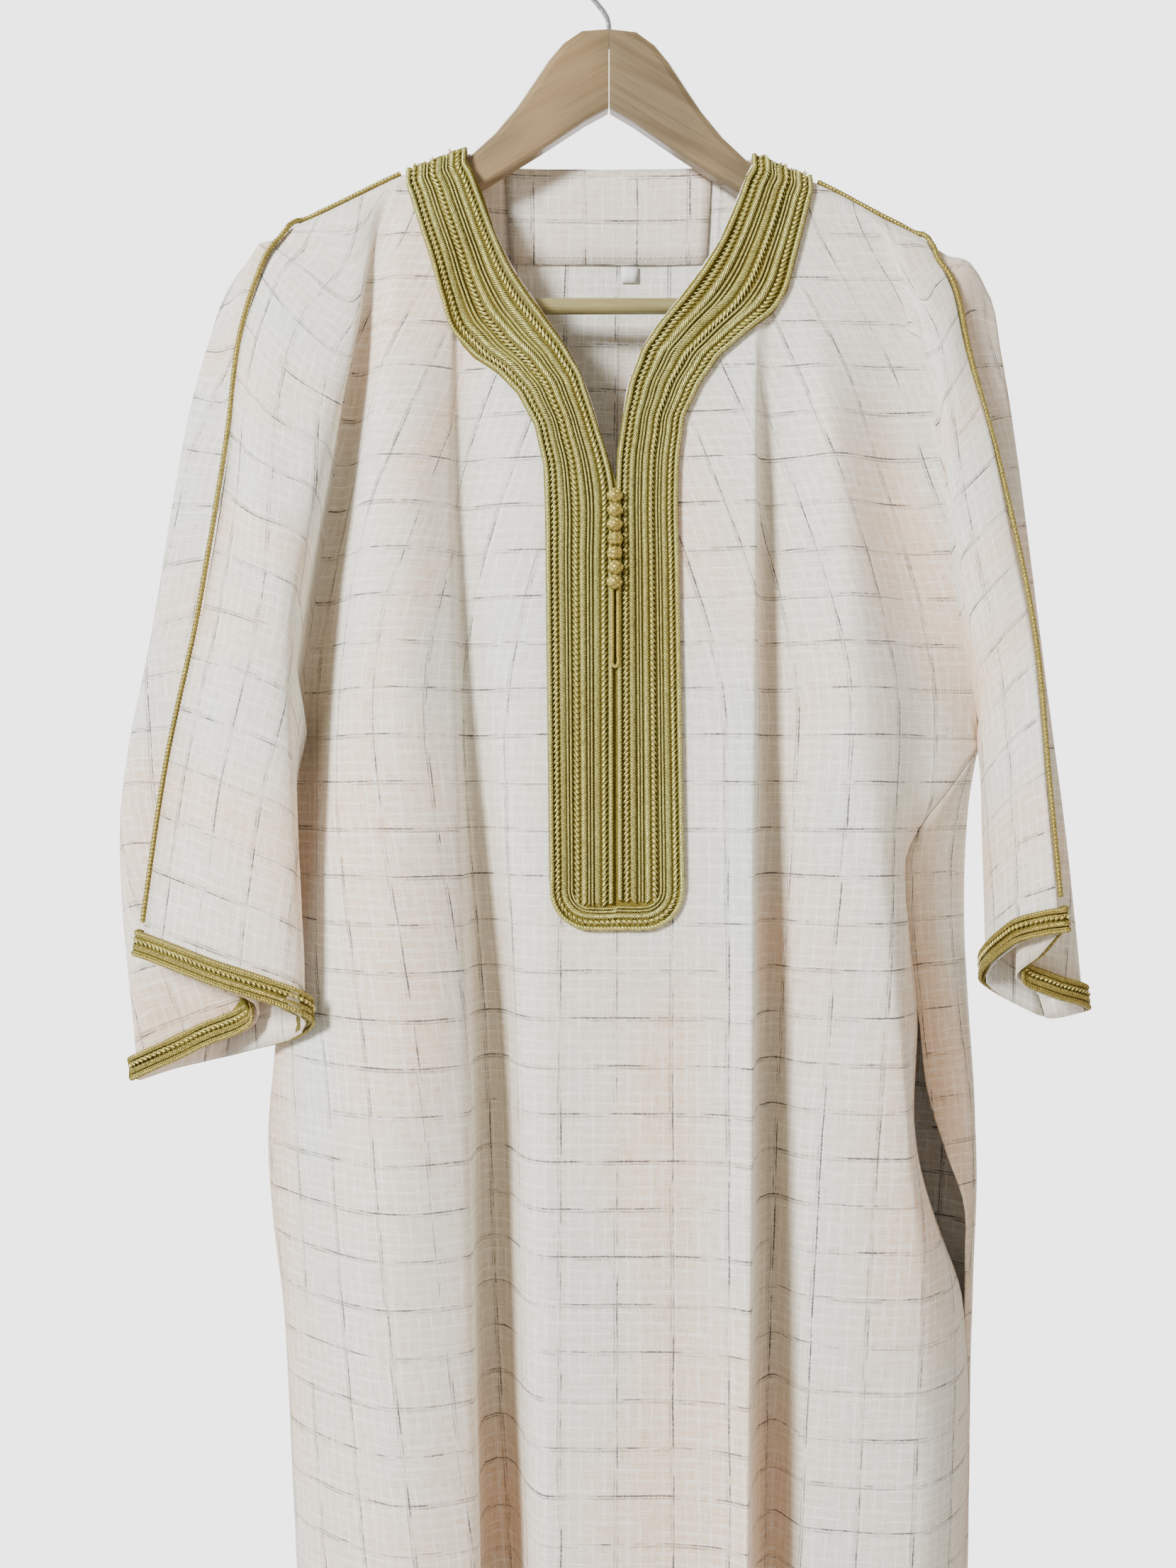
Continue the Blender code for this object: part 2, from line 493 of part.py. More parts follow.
def wall_mesh(name, grids, thickness=WALL):
    """A closed wall round the points of its grids; equal points are shared between them."""
    bm = bmesh.new()
    seen = {}
    faces = set()

    def vertex(p):
        key = tuple(round(c, 4) for c in p)
        if key not in seen:
            seen[key] = bm.verts.new([c * MM for c in p])
        return seen[key]

    for grid in grids:
        for upper, below in zip(grid, grid[1:]):
            for i in range(len(upper) - 1):
                corner = [vertex(upper[i]), vertex(below[i]), vertex(below[i + 1]), vertex(upper[i + 1])]
                corner = [v for n, v in enumerate(corner) if v not in corner[:n]]
                key = frozenset(corner)
                if len(corner) >= 3 and key not in faces:
                    faces.add(key)
                    bm.faces.new(corner)
    bmesh.ops.triangulate(bm, faces=bm.faces)
    mesh = bpy.data.meshes.new(name)
    bm.to_mesh(mesh)
    bm.free()
    obj = bpy.data.objects.new(name, mesh)
    solid = obj.modifiers.new("wall", "SOLIDIFY")
    solid.thickness = thickness * MM
    solid.offset = 0
    solid.use_even_offset = True
    solid.use_quality_normals = True
    mesh.shade_smooth()
    return obj


FRONT_SLEEVE = ("crease", "middle", "inner", "front_under")
BACK_SLEEVE = ("back_under", "far", "outer", "near", "turn", "back_fold", "crease")
PINCH = 0.3             # half the space between the two walls where a seam is pinched together
RIDGE_PULL = 0.5       # how far each panel's top edge stands back from the shoulder line
FACET_PASSES = 4        # rounds of moving cloth faces off the hanger
FACET_SAMPLES = [(a, b, share) for a, b in ((0, 1), (0, 2), (0, 3), (1, 2), (1, 3), (2, 3))
                 for share in (0.3, 0.5, 0.7)]   # points tested on each face's edges and diagonals
CORD_PASSES = 12        # rounds of moving a cord off the cloth
CORNER_PULL = 1.4       # and at the corner where the shoulder seam turns down the sleeve
TIP_STATION = 2         # above it the top seam lies over the hanger's tip and is kept wider
PINCH_STATION = 0.5     # where the two walls of the sleeve's top seam lie side by side
APEX_FRONT = 0.8        # how far each panel stands off the point of the underarm
APEX_BACK = 1.6
APEX_PULL = 1.3         # and how far body and sleeve part there
ARMHOLE_PULL = 0.6      # how far body and sleeve each stand back from the armhole seam
FOLDED_PULL = 0.9       # and where the front is folded sharply there
FOLDED_ROWS = (0.03, 0.5)   # between these shares of the way to the underarm


def crease_shift(station):
    """How far each panel's edge stands to its own side of the sleeve's top seam."""
    return RIDGE_PULL + (WALL / 2 + PINCH - RIDGE_PULL) * min(station / PINCH_STATION, 1)


def armhole_pull(row, front):
    """How far the edges at the armhole stand back in one of the upper rows."""
    if front and FOLDED_ROWS[0] < UPPER_ROWS[row] < FOLDED_ROWS[1]:
        return FOLDED_PULL
    return ARMHOLE_PULL


def panels():
    """Smooth rows of both panels, as lists of grids that share their edge points."""
    front_up, front_low, back_up, back_low, sleeves = garment()
    upper, low = sleeve_stations()
    soft_front = [f.soft for f in front_columns()]
    soft_back = [b.soft for b in back_columns()]
    apex = len(UPPER_ROWS) - 1
    front_up = [list(r) for r in front_up]
    back_up = [list(r) for r in back_up]
    for end in (0, -1):
        front_up[apex][end] = front_up[apex][end] + (0, -APEX_FRONT, 0)
        back_up[apex][end] = back_up[apex][end] + (0, APEX_BACK, 0)
    for side, end in (("left", 0), ("right", -1)):
        sleeves[side]["front_under"][apex] = front_up[apex][end]
        sleeves[side]["back_under"][apex] = back_up[apex][-1 if end == 0 else 0]
    left, right = sleeves["left"], sleeves["right"]

    front = [across(r, soft_front, left["inner"][i], right["inner"][i])
             for i, r in enumerate(front_up)]
    back = [across(r, soft_back, right["far"][i], left["far"][i]) for i, r in enumerate(back_up)]
    front[0] = [p + (0, -RIDGE_PULL, 0) for p in front[0]]
    back[0] = [p + (0, RIDGE_PULL, 0) for p in back[0]]
    corners = front[0], back[0]
    for rows in (front, back):
        for i, row in enumerate(rows):
            pull = APEX_PULL if i == apex else armhole_pull(i, rows is front)
            rows[i] = pull_back(list(row), pull, pull)
    front_below, back_below = [front[apex]], [back[apex]]
    for f, b in zip(front_low, back_low):
        front_below.append(pull_back(across(f, soft_front, b[-2], b[1]), SEAM_PULL, SEAM_PULL))
        back_below.append(pull_back(across(b, soft_back, f[-2], f[1]), SEAM_PULL, SEAM_PULL))

    front_grids, back_grids = [front, front_below], [back, back_below]
    for side, table, rows in (("left", SLEEVE_LEFT, left), ("right", SLEEVE_RIGHT, right)):
        fronts, backs = [], []
        for i, station in enumerate(upper + low):
            above = i <= apex
            shift = crease_shift(station)
            ends = (0, -1) if side == "left" else (-1, 0)
            f_next = front_up[i][1 if side == "left" else -2] if above else rows["far"][i]
            b_next = back_up[i][-2 if side == "left" else 1] if above else rows["inner"][i]
            f = [rows[n][i] for n in FRONT_SLEEVE]
            b = [rows[n][i] for n in BACK_SLEEVE]
            f_soft = [table[n][0] if n in table else 1 for n in FRONT_SLEEVE]
            b_soft = [table[n][0] if n in table else 1 for n in BACK_SLEEVE]
            if i > 0:
                f[0] = f[0] + (0, -shift, 0)
                b[-1] = b[-1] + (0, shift, 0)
            f_row = across(f, f_soft, f[0], f_next, SLEEVE_SUB)
            b_row = across(b, b_soft, b_next, b[-1], SLEEVE_SUB)
            if i == 0:
                f_row = pull_back([p + (0, -shift, 0) for p in f_row], CORNER_PULL, 0)
                corner = b_row[-1]
                b_row = [p + (0, shift + (CORNER_PULL / 2 if np.allclose(p, corner) else 0), 0)
                         for p in b_row]
                f_row[-1] = corners[0][ends[0]]
                b_row[0] = corners[1][ends[1]]
                f_row = pull_back(f_row, 0, armhole_pull(i, True))
                b_row = pull_back(b_row, armhole_pull(i, False), 0)
            else:
                top_pull = SEAM_PULL * (2 if station < TIP_STATION else 1)
                low_pull = APEX_PULL if i == apex else SEAM_PULL
                f_pull, b_pull = (armhole_pull(i, n == 0) if i < apex else low_pull for n in (0, 1))
                f_row = pull_back(f_row, top_pull, f_pull)
                b_row = pull_back(b_row, b_pull, top_pull)
            fronts.append(f_row if side == "left" else f_row[::-1])
            backs.append(b_row if side == "left" else b_row[::-1])
        front_grids.append(fronts)
        back_grids.append(backs)
    return clear_of_arms(front_grids), clear_of_arms(back_grids)


def clear_of_arms(grids):
    """The same rows, moved so that neither points nor the faces between them touch the hanger."""
    clear = WALL / 2 + ARM_CLEAR
    grids = [[[off_arm(p, clear) for p in row] for row in grid] for grid in grids]
    for _ in range(FACET_PASSES):
        pushes = {}
        for grid in grids:
            for upper, below in zip(grid, grid[1:]):
                for i in range(len(upper) - 1):
                    corners = (upper[i], upper[i + 1], below[i], below[i + 1])
                    for a, b, share in FACET_SAMPLES:
                        middle = corners[a] + (corners[b] - corners[a]) * share
                        short = clear - arm_distance(middle) if near_arm(middle) else 0
                        if short <= TOUCH:
                            continue
                        push = arm_outward(middle) * short
                        for p in (corners[a], corners[b]):
                            key = tuple(p.round(4))
                            if np.linalg.norm(pushes.get(key, np.zeros(3))) < short:
                                pushes[key] = push
        if not pushes:
            break
        grids = [[[p + pushes.get(tuple(p.round(4)), 0) for p in row] for row in grid]
                 for grid in grids]
    return grids


def slab(name, low_grids, top_grids):
    """A closed solid between a lower and an upper surface with the same layout of points."""
    bm = bmesh.new()
    seen = {}
    edges = {}

    def vertex(level, p, key):
        if (level, key) not in seen:
            seen[(level, key)] = bm.verts.new([c * MM for c in p])
        return seen[(level, key)]

    def key_of(p):
        return tuple(round(c, 3) for c in p)

    for low, top in zip(low_grids, top_grids):
        for r in range(len(low) - 1):
            for i in range(len(low[r]) - 1):
                cells = [(r, i), (r + 1, i), (r + 1, i + 1), (r, i + 1)]
                keys = []
                for a, b in cells:
                    key = key_of(low[a][b])
                    if key not in [k for k, _, _ in keys]:
                        keys.append((key, low[a][b], top[a][b]))
                if len(keys) < 3:
                    continue
                bm.faces.new([vertex("top", t, k) for k, _, t in keys])
                bm.faces.new([vertex("low", p, k) for k, p, _ in reversed(keys)])
                ring = [k for k, _, _ in keys]
                for a, b in zip(ring, ring[1:] + ring[:1]):
                    edges[(a, b)] = edges.get((a, b), 0) + 1
    for a, b in [e for e in edges if (e[1], e[0]) not in edges]:
        bm.faces.new([seen[("top", b)], seen[("top", a)], seen[("low", a)], seen[("low", b)]])
    bmesh.ops.triangulate(bm, faces=bm.faces)
    bmesh.ops.recalc_face_normals(bm, faces=bm.faces)
    mesh = bpy.data.meshes.new(name)
    bm.to_mesh(mesh)
    bm.free()
    mesh.shade_smooth()
    mesh.set_sharp_from_angle(angle=math.radians(50))
    return bpy.data.objects.new(name, mesh)


# Neck braid in section, from its outer edge: share of the width, height above its back
BRAID_PROFILE = ((0, 1.2), (0.05, 2.3), (0.11, 1.2), (0.20, 2.1), (0.31, 2.1), (0.36, 1.2), (0.46, 2.1),
                 (0.58, 2.1), (0.64, 1.2), (0.73, 2.1), (0.83, 2.1), (0.88, 1.2), (0.94, 2.3), (1, 1.2))


def surface_tree(grids):
    """A search tree over the quads of some grids."""
    points, faces = [], []
    for grid in grids:
        wide = len(grid[0])
        start = len(points)
        points += [Vector(p) for row in grid for p in row]
        for r in range(len(grid) - 1):
            for i in range(wide - 1):
                a = start + r * wide + i
                faces.append((a, a + wide, a + wide + 1, a + 1))
    return BVHTree.FromPolygons(points, faces)


NECK_FILL_RISE = 8.0


def neck_fill():
    """The front's surface carried on above the neck's edge, for pieces that overhang it a little."""
    folds = [f for f in front_columns() if abs(f.top) < 95]
    grid = []
    for share in np.linspace(1, 0, 5):
        row = []
        for f in folds:
            if abs(f.top) > BACK_NECK_HALF:
                row.append(column(f)[0] + (0, 0, NECK_FILL_RISE * share))
                continue
            low = neck_height(f.top)
            row.append(fold_at(f, low + (SHOULDER[0][1] + NECK_FILL_RISE - low) * share))
        grid.append(across(row, [f.soft for f in folds], row[0], row[-1]))
    return clear_of_arms([grid])[0]


def on_panel(tree, x, z, height, face=-1):
    """Point `height` above the panel's middle at (x, z), seen from the front (-1) or the back."""
    hit, normal, _, _ = tree.ray_cast(Vector((x, 400 * face, z)), Vector((0, -face, 0)))
    if hit is None:
        raise ValueError(f"nothing under x {x:.1f}, z {z:.1f}")
    if normal.y * face < 0:
        normal = -normal
    return np.array(hit + normal * height)


def braid_rows(side):
    """Outer and inner edge points (x, z) of the neck braid down one side to the placket's foot."""
    rows = BRAID_LEFT if side < 0 else BRAID_RIGHT
    fine = [BraidRow(side * BRAID_TOP[0], ridge(side * BRAID_TOP[0])[2] - drop,
                     side * BRAID_TOP[1], ridge(side * BRAID_TOP[1])[2] - drop)
            for drop in BRAID_DROPS]
    for i, (a, b) in enumerate(zip(rows, rows[1:])):
        fine.append(a)
        if BRAID_BEND[0] <= i < BRAID_BEND[1]:
            fine.append(BraidRow(*[(p + q) / 2 for p, q in zip(a, b)]))
    fine.append(rows[-1])
    out = [((r.out_x, r.out_z), (r.in_x, r.in_z)) for r in fine]
    wide = abs(rows[-1].out_x)
    for z in PLACKET_HEIGHTS:
        grow = 1 + 0.08 * (rows[-1].out_z - z) / 230
        edge = side * wide * grow if side > 0 else -wide * (2 - grow)
        out.append(((edge, z), (PLACKET_MIDDLE, z)))
    edge = out[-1][0][0]
    for angle in (25, 50, 72, 90):
        turn = math.radians(angle)
        x = edge - side * PLACKET_CORNER * (1 - math.cos(turn))
        z = PLACKET_FOOT + PLACKET_CORNER * (1 - math.sin(turn))
        out.append(((x, z), (PLACKET_MIDDLE, z)))
    return out


def lift_grid(low, top, tree, clear):
    """Move a strip's points outward until its underside, faces too, is `clear` from the cloth."""
    for _ in range(FACET_PASSES):
        pushes = {}
        for r in range(len(low) - 1):
            for i in range(len(low[r]) - 1):
                cells = ((r, i), (r, i + 1), (r + 1, i), (r + 1, i + 1))
                for a, b in ((0, 0), (0, 1), (0, 2), (0, 3), (1, 2), (1, 3), (2, 3)):
                    (ra, ia), (rb, ib) = cells[a], cells[b]
                    middle = Vector((low[ra][ia] + low[rb][ib]) / 2)
                    near, normal, _, away = tree.find_nearest(middle)
                    if normal.y > 0:
                        normal = -normal
                    short = clear - (away if (middle - near) @ normal > 0 else -away)
                    for cell in {cells[a], cells[b]}:
                        if short > TOUCH and short > np.linalg.norm(pushes.get(cell, np.zeros(3))):
                            pushes[cell] = np.array(normal) * short
        if not pushes:
            break
        for (r, i), push in pushes.items():
            low[r][i] = low[r][i] + push
            top[r][i] = top[r][i] + push


def neck_braid(tree):
    """The gold braid round the neck and down the placket, one flat solid with raised rows."""
    lows, tops = [], []
    base = WALL / 2 + BRAID_LIE
    for side in (-1, 1):
        low, top = [], []
        for outer, inner in braid_rows(side):
            low_row, top_row = [], []
            for share, height in BRAID_PROFILE:
                x = outer[0] + (inner[0] - outer[0]) * share
                z = outer[1] + (inner[1] - outer[1]) * share
                low_row.append(on_panel(tree, x, z, base))
                top_row.append(on_panel(tree, x, z, base + height))
            low.append(low_row if side < 0 else low_row[::-1])
            top.append(top_row if side < 0 else top_row[::-1])
        lows.append(low)
        tops.append(top)
    shared = [r for r in range(len(lows[0])) if np.allclose(lows[0][r][-1], lows[1][r][0])]
    for low, top in zip(lows, tops):
        lift_grid(low, top, tree, base)
    for r in shared:
        for grids in (lows, tops):
            front_most = min(grids[0][r][-1], grids[1][r][0], key=lambda p: p[1])
            grids[0][r][-1] = grids[1][r][0] = front_most
    return slab("neck_braid", lows, tops)


CORNER_LEAST = 0.55     # keeps the braid from spiking at a tight corner
CUFF_BAND = 15.0        # width of the braid at the cuffs
CUFF_LIE = 1.0          # clear space under it, which spans the faces of a turning panel
CUFF_PROFILE = ((0.0, 1.2), (0.12, 2.1), (0.5, 1.7), (0.88, 2.1), (1.0, 1.2))


def sleeve_loop(side, table, station):
    """Closed loop of the sleeve's cloth at a station below the underarm."""
    names = ("crease", "middle", "inner", "under", "far", "outer", "near", "turn", "back_fold")
    points = [sleeve_point(table[n][1:], station) for n in names]
    softs = [table[n][0] for n in names]
    front = points[0] + (0, -(WALL / 2 + PINCH), 0)
    back = points[0] + (0, WALL / 2 + PINCH, 0)
    loop = across([front, *points[1:], back], [*softs, softs[0]], front, back, SLEEVE_SUB)
    return loop if side == "left" else loop[::-1]


def even_outward(before, here, after, rise):
    """The step from a corner that moves both of its edges outward by one."""
    first = np.cross(here - before, rise)
    second = np.cross(after - here, rise)
    first = first / np.linalg.norm(first)
    second = second / np.linalg.norm(second)
    middle = first + second
    middle = middle / max(np.linalg.norm(middle), 1e-6)
    return middle / max(middle @ first, CORNER_LEAST)


def cuff_braid(side, table):
    """The gold braid round one cuff, a ring on the outside of the cloth."""
    lows, tops = [], []
    lower_edge = sleeve_loop(side, table, LAST_STATION)
    upper_edge = sleeve_loop(side, table, sleeve_stations()[1][-2])
    count = len(lower_edge)
    for share, height in CUFF_PROFILE:
        low, top = [], []
        for i in range(count):
            rise = upper_edge[i] - lower_edge[i]
            rise = rise / np.linalg.norm(rise)
            out = even_outward(lower_edge[i - 1], lower_edge[i], lower_edge[(i + 1) % count], rise)
            place = lower_edge[i] + rise * (1 - share) * CUFF_BAND
            low.append(place + out * (WALL / 2 + CUFF_LIE))
            top.append(place + out * (WALL / 2 + CUFF_LIE + height))
        low.append(low[0])
        top.append(top[0])
        lows.append(low)
        tops.append(top)
    return slab("cuff_braid_" + side, [lows], [tops])


CORD_RADIUS = 1.4
CORD_START_X = 124.0    # the cord along the shoulder starts beside the neck braid
CORD_ON_ARM = 1.3       # the station down to which the cord lies on the arm
CORD_SHORT = 4.0        # how far it stops above the cuff's braid


def tube(name, points, radius, cyclic=False, resolution=2):
    """A round bar along points in millimetres."""
    curve = bpy.data.curves.new(name, "CURVE")
    curve.dimensions = "3D"
    curve.bevel_depth = radius * MM
    curve.bevel_resolution = resolution
    curve.use_fill_caps = True
    line = curve.splines.new("POLY")
    line.points.add(len(points) - 1)
    for target, p in zip(line.points, points):
        target.co = (p[0] * MM, p[1] * MM, p[2] * MM, 1)
    line.use_smooth = True
    line.use_cyclic_u = cyclic
    return bpy.data.objects.new(name, curve)


def seam_route(side, fronts, backs):
    """Points of the cord over the shoulder seam and down the crease between the sleeve's two rows."""
    lift = WALL / 2 + LIE + CORD_RADIUS
    sign = -1 if side == "left" else 1
    edge, beside = (0, 1) if side == "left" else (-1, -2)
    stations = [s for part in sleeve_stations() for s in part]
    route = []
    for x in np.linspace(CORD_START_X, abs(fronts[0][edge][0]), 6):
        top = off_arm(ridge(sign * x), WALL / 2 + ARM_CLEAR)
        route.append(top + arm_outward(top) * lift)
    creases = [(f[edge] + b[-1 - edge]) / 2 for f, b in zip(fronts, backs)]
    for i in range(1, len(stations)):
        front, back, crease = fronts[i], backs[i], creases[i]
        steps = []
        corners = []
        for row, end, inside in ((front, edge, beside), (back, -1 - edge, -1 - beside)):
            step = row[end] - row[inside]
            step = step / np.linalg.norm(step)
            steps.append(step)
            corners += [row[end], row[end] - step * CORD_RADIUS]
        along = creases[min(i + 1, len(creases) - 1)] - creases[i - 1]
        normal = np.cross(steps[0] - steps[1], along)
        normal = normal / max(np.linalg.norm(normal), 1e-6)
        if normal @ (crease - np.mean([*front, *back], axis=0)) < 0:
            normal = -normal
        away = steps[0] + steps[1]
        away = away + normal * (2 - np.linalg.norm(away))
        share = min(max(stations[i] - CORD_ON_ARM, 0), 1)
        way = away * share + arm_outward(crease) * (1 - share)
        way = way / np.linalg.norm(way)
        proud = max((p - crease) @ way for p in corners)
        route.append(crease + way * (lift + max(proud, 0)))
    last = route[-1] - route[-2]
    route[-1] = route[-1] - last / np.linalg.norm(last) * (CUFF_BAND + CORD_SHORT)
    return off_cloth(route, surface_tree([fronts, backs]), lift)


def off_cloth(route, tree, clear):
    """A cord's route, moved away from the cloth until all of it is `clear` from its middle."""
    for _ in range(CORD_PASSES):
        pushes = [np.zeros(3) for _ in route]
        for i in range(len(route) - 1):
            for share in (0, 0.2, 0.4, 0.6, 0.8, 1):
                here = route[i] + (route[i + 1] - route[i]) * share
                near, _, _, away = tree.find_nearest(Vector(here))
                if away < clear - TOUCH:
                    push = (here - np.array(near)) / max(away, 1e-6) * (clear - away)
                    for k in (i, i + 1) if 0 < share < 1 else (i + round(share),):
                        if np.linalg.norm(push) > np.linalg.norm(pushes[k]):
                            pushes[k] = push
        if not any(p.any() for p in pushes):
            break
        route = [p + push for p, push in zip(route, pushes)]
    return route


KNOT_TOP_Z = -347.0
KNOT_PITCH = 8.4
KNOT_RADIUS = 4.05
KNOT_COUNT = 7
LOOP_TOP_Z = -405.0
LOOP_FOOT_Z = -446.0
LOOP_HALF = 1.75        # half the space between the two legs' middles
LOOP_WIRE = 1.3


def knots(tree):
    """Seven round corded knots in a row down the middle of the placket."""
    made = []
    for i in range(KNOT_COUNT):
        z = KNOT_TOP_Z - KNOT_PITCH * i
        side = PLACKET_MIDDLE + (0.6 if i % 2 else -0.6)
        seat = on_panel(tree, side, z, WALL / 2 + BRAID_LIE + BRAID_THICK + LIE)
        bm = bmesh.new()
        bmesh.ops.create_uvsphere(bm, u_segments=9, v_segments=6, radius=KNOT_RADIUS * MM)
        bmesh.ops.scale(bm, vec=(1.1, 0.95, 1.0), verts=bm.verts)
        mesh = bpy.data.meshes.new(f"knot_{i + 1}")
        bm.to_mesh(mesh)
        bm.free()
        mesh.shade_smooth()
        obj = bpy.data.objects.new(f"knot_{i + 1}", mesh)
        obj.location = [c * MM for c in seat + (0, -KNOT_RADIUS * 0.95, 0)]
        made.append(obj)
    return made


def placket_loop(tree):
    """The doubled cord that hangs below the knots and is stitched down at its foot."""
    height = WALL / 2 + BRAID_LIE + BRAID_THICK + LIE + LOOP_WIRE
    route = []
    steps = 7
    for i in range(steps):
        z = LOOP_TOP_Z + (LOOP_FOOT_Z + LOOP_HALF - LOOP_TOP_Z) * i / (steps - 1)
        route.append((PLACKET_MIDDLE - LOOP_HALF, z))
    for angle in (45, 90, 135):
        turn = math.radians(angle)
        route.append((PLACKET_MIDDLE - LOOP_HALF * math.cos(turn),
                      LOOP_FOOT_Z + LOOP_HALF - LOOP_HALF * math.sin(turn)))
    for x, z in reversed(route[:steps]):
        route.append((2 * PLACKET_MIDDLE - x, z))
    points = [on_panel(tree, x, z, height) for x, z in route]
    return tube("placket_loop", points, LOOP_WIRE)


FACING_FOOT = -194.0
FACING_LIE = 0.8        # clear space between the back panel and what lies inside it
LABEL = (8.0, 18.0, -195.0, -204.5)   # left, right, top, foot
LABEL_THICK = 1.0


def back_neck_facing(tree):
    """The strip of the same cloth inside the back neck."""
    base = -(WALL / 2 + FACING_LIE)
    lows, tops = [], []
    for z in np.linspace(BACK_NECK_RISE - 2, FACING_FOOT, 6):
        half = 64 - 4 * (BACK_NECK_RISE - z) / (BACK_NECK_RISE - FACING_FOOT)
        xs = np.linspace(half, -half, 19)
        lows.append([on_panel(tree, x, z, base - WALL, face=1) for x in xs])
        tops.append([on_panel(tree, x, z, base, face=1) for x in xs])
    return slab("back_neck_facing", [lows], [tops])


def size_label(tree):
    """The small bare label under the facing."""
    left, right, top, foot = LABEL
    base = -(WALL / 2 + FACING_LIE)
    lows, tops = [], []
    for z in np.linspace(top, foot, 3):
        xs = np.linspace(right, left, 4)
        lows.append([on_panel(tree, x, z, base - LABEL_THICK, face=1) for x in xs])
        tops.append([on_panel(tree, x, z, base, face=1) for x in xs])
    return slab("size_label", [lows], [tops])


SOCKET_CLEAR = 0.35
LOWER_ROUND = 0.3       # rounding of an arm's lower edges, as a share of the upper ones
LOWER_END = 197.0       # where the lower edges' smaller rounding ends
FLAT_ANGLE = 0.01       # faces this near to one plane are made one
SHARP_ANGLE = 1.0       # edges sharper than this are rounded


def joined_mesh(obj):
    """A mesh object from an evaluated curve, with its loose caps joined on."""
    bpy.context.scene.collection.objects.link(obj)
    view = bpy.context.view_layer
    view.update()
    mesh = bpy.data.meshes.new_from_object(obj.evaluated_get(bpy.context.evaluated_depsgraph_get()))
    bm = bmesh.new()
    bm.from_mesh(mesh)
    bmesh.ops.remove_doubles(bm, verts=bm.verts, dist=0.00001)
    bmesh.ops.recalc_face_normals(bm, faces=bm.faces)
    if bm.calc_volume(signed=True) < 0:
        bmesh.ops.reverse_faces(bm, faces=bm.faces)
    bm.to_mesh(mesh)
    bm.free()
    name = obj.name
    matrix = obj.matrix_world.copy()
    bpy.data.objects.remove(obj)
    made = bpy.data.objects.new(name, mesh)
    made.matrix_world = matrix
    return made


def arm_middle(x):
    """Height halfway down an arm at x."""
    low = sorted(ARM_LOWER)
    top = sorted(ARM_UPPER)
    return (np.interp(x, [p[0] for p in low], [p[1] for p in low])
            + np.interp(x, [p[0] for p in top], [p[1] for p in top])) / 2


MITRE_HALF = 0.002  # half width of the mitre between the two boards, in metres


def round_edges(board):
    """Round the long edges of a board, the upper ones more, and leave its mitred end crisp."""
    bm = bmesh.new()
    bm.from_mesh(board.data)
    bmesh.ops.dissolve_limit(bm, angle_limit=FLAT_ANGLE, verts=bm.verts, edges=bm.edges)
    weight = bm.edges.layers.float.new("bevel_weight_edge")
    for edge in bm.edges:
        a, b = (v.co for v in edge.verts)
        long_edge = abs(a.y - b.y) < ARM_THICK / 2 * MM and edge.calc_face_angle(0) > SHARP_ANGLE
        if long_edge and max(abs(a.x), abs(b.x)) > MITRE_HALF:
            middle = (a + b) / 2
            away = abs(middle.x) / MM
            round_one = away > LOWER_END or middle.z > arm_middle(away) * MM
            edge[weight] = 1.0 if round_one else LOWER_ROUND
    bm.to_mesh(board.data)
    bm.free()
    rounding = board.modifiers.new("rounding", "BEVEL")
    rounding.width = ARM_ROUND * MM
    rounding.segments = 2
    rounding.limit_method = "WEIGHT"
    rounding.use_clamp_overlap = False


def hanger_arm(side):
    """One half of the hanger: a flat shaped board with rounded edges, turned a little forward."""
    sign = -1 if side == "left" else 1
    outline = arm_outline()
    name = "hanger_arm_" + side
    curve = bpy.data.curves.new(name, "CURVE")
    curve.dimensions = "2D"
    curve.fill_mode = "BOTH"
    curve.extrude = ARM_THICK / 2 * MM
    line = curve.splines.new("POLY")
    line.points.add(len(outline) - 1)
    for target, (x, z) in zip(line.points, outline):
        target.co = (sign * x * MM, z * MM, 0, 1)
    line.use_cyclic_u = True
    flat = bpy.data.objects.new(name, curve)
    flat.matrix_world = (Matrix.Rotation(-sign * ARM_FORWARD, 4, "Z")
                         @ Matrix.Rotation(math.radians(90), 4, "X"))
    board = joined_mesh(flat)
    tilt = Matrix.Shear("XY", 4, (0, 0))
    tilt[2][0] = -HANGER_TILT
    board.matrix_world = tilt @ board.matrix_world
    board.data.transform(board.matrix_world)
    board.matrix_world = Matrix.Identity(4)
    round_edges(board)
    board.data.shade_smooth()
    return board


def rod(name, radius, length, place, turn, sides=16):
    """A plain cylinder between its ends, turned by `turn`, in millimetres."""
    bm = bmesh.new()
    bmesh.ops.create_cone(bm, cap_ends=True, segments=sides, radius1=radius * MM,
                          radius2=radius * MM, depth=length * MM)
    mesh = bpy.data.meshes.new(name)
    bm.to_mesh(mesh)
    bm.free()
    mesh.shade_smooth()
    mesh.set_sharp_from_angle(angle=math.radians(40))
    obj = bpy.data.objects.new(name, mesh)
    obj.matrix_world = Matrix.Translation([c * MM for c in place]) @ turn
    return obj


HOOK_OPEN_ANGLE = -35.0   # where the hook's free end stops, degrees from +X
HOOK_JOIN_ANGLE = 205.0   # where the bend leaves the stem
STEM_DEPTH = 12.0         # how far the stem runs into the wood
HOOK_SIDES = 12
SOCKET_DEEP = 18.0        # how far the bar runs into each arm
HOLE_LENGTH = 60.0        # of the cutter for the bar's socket


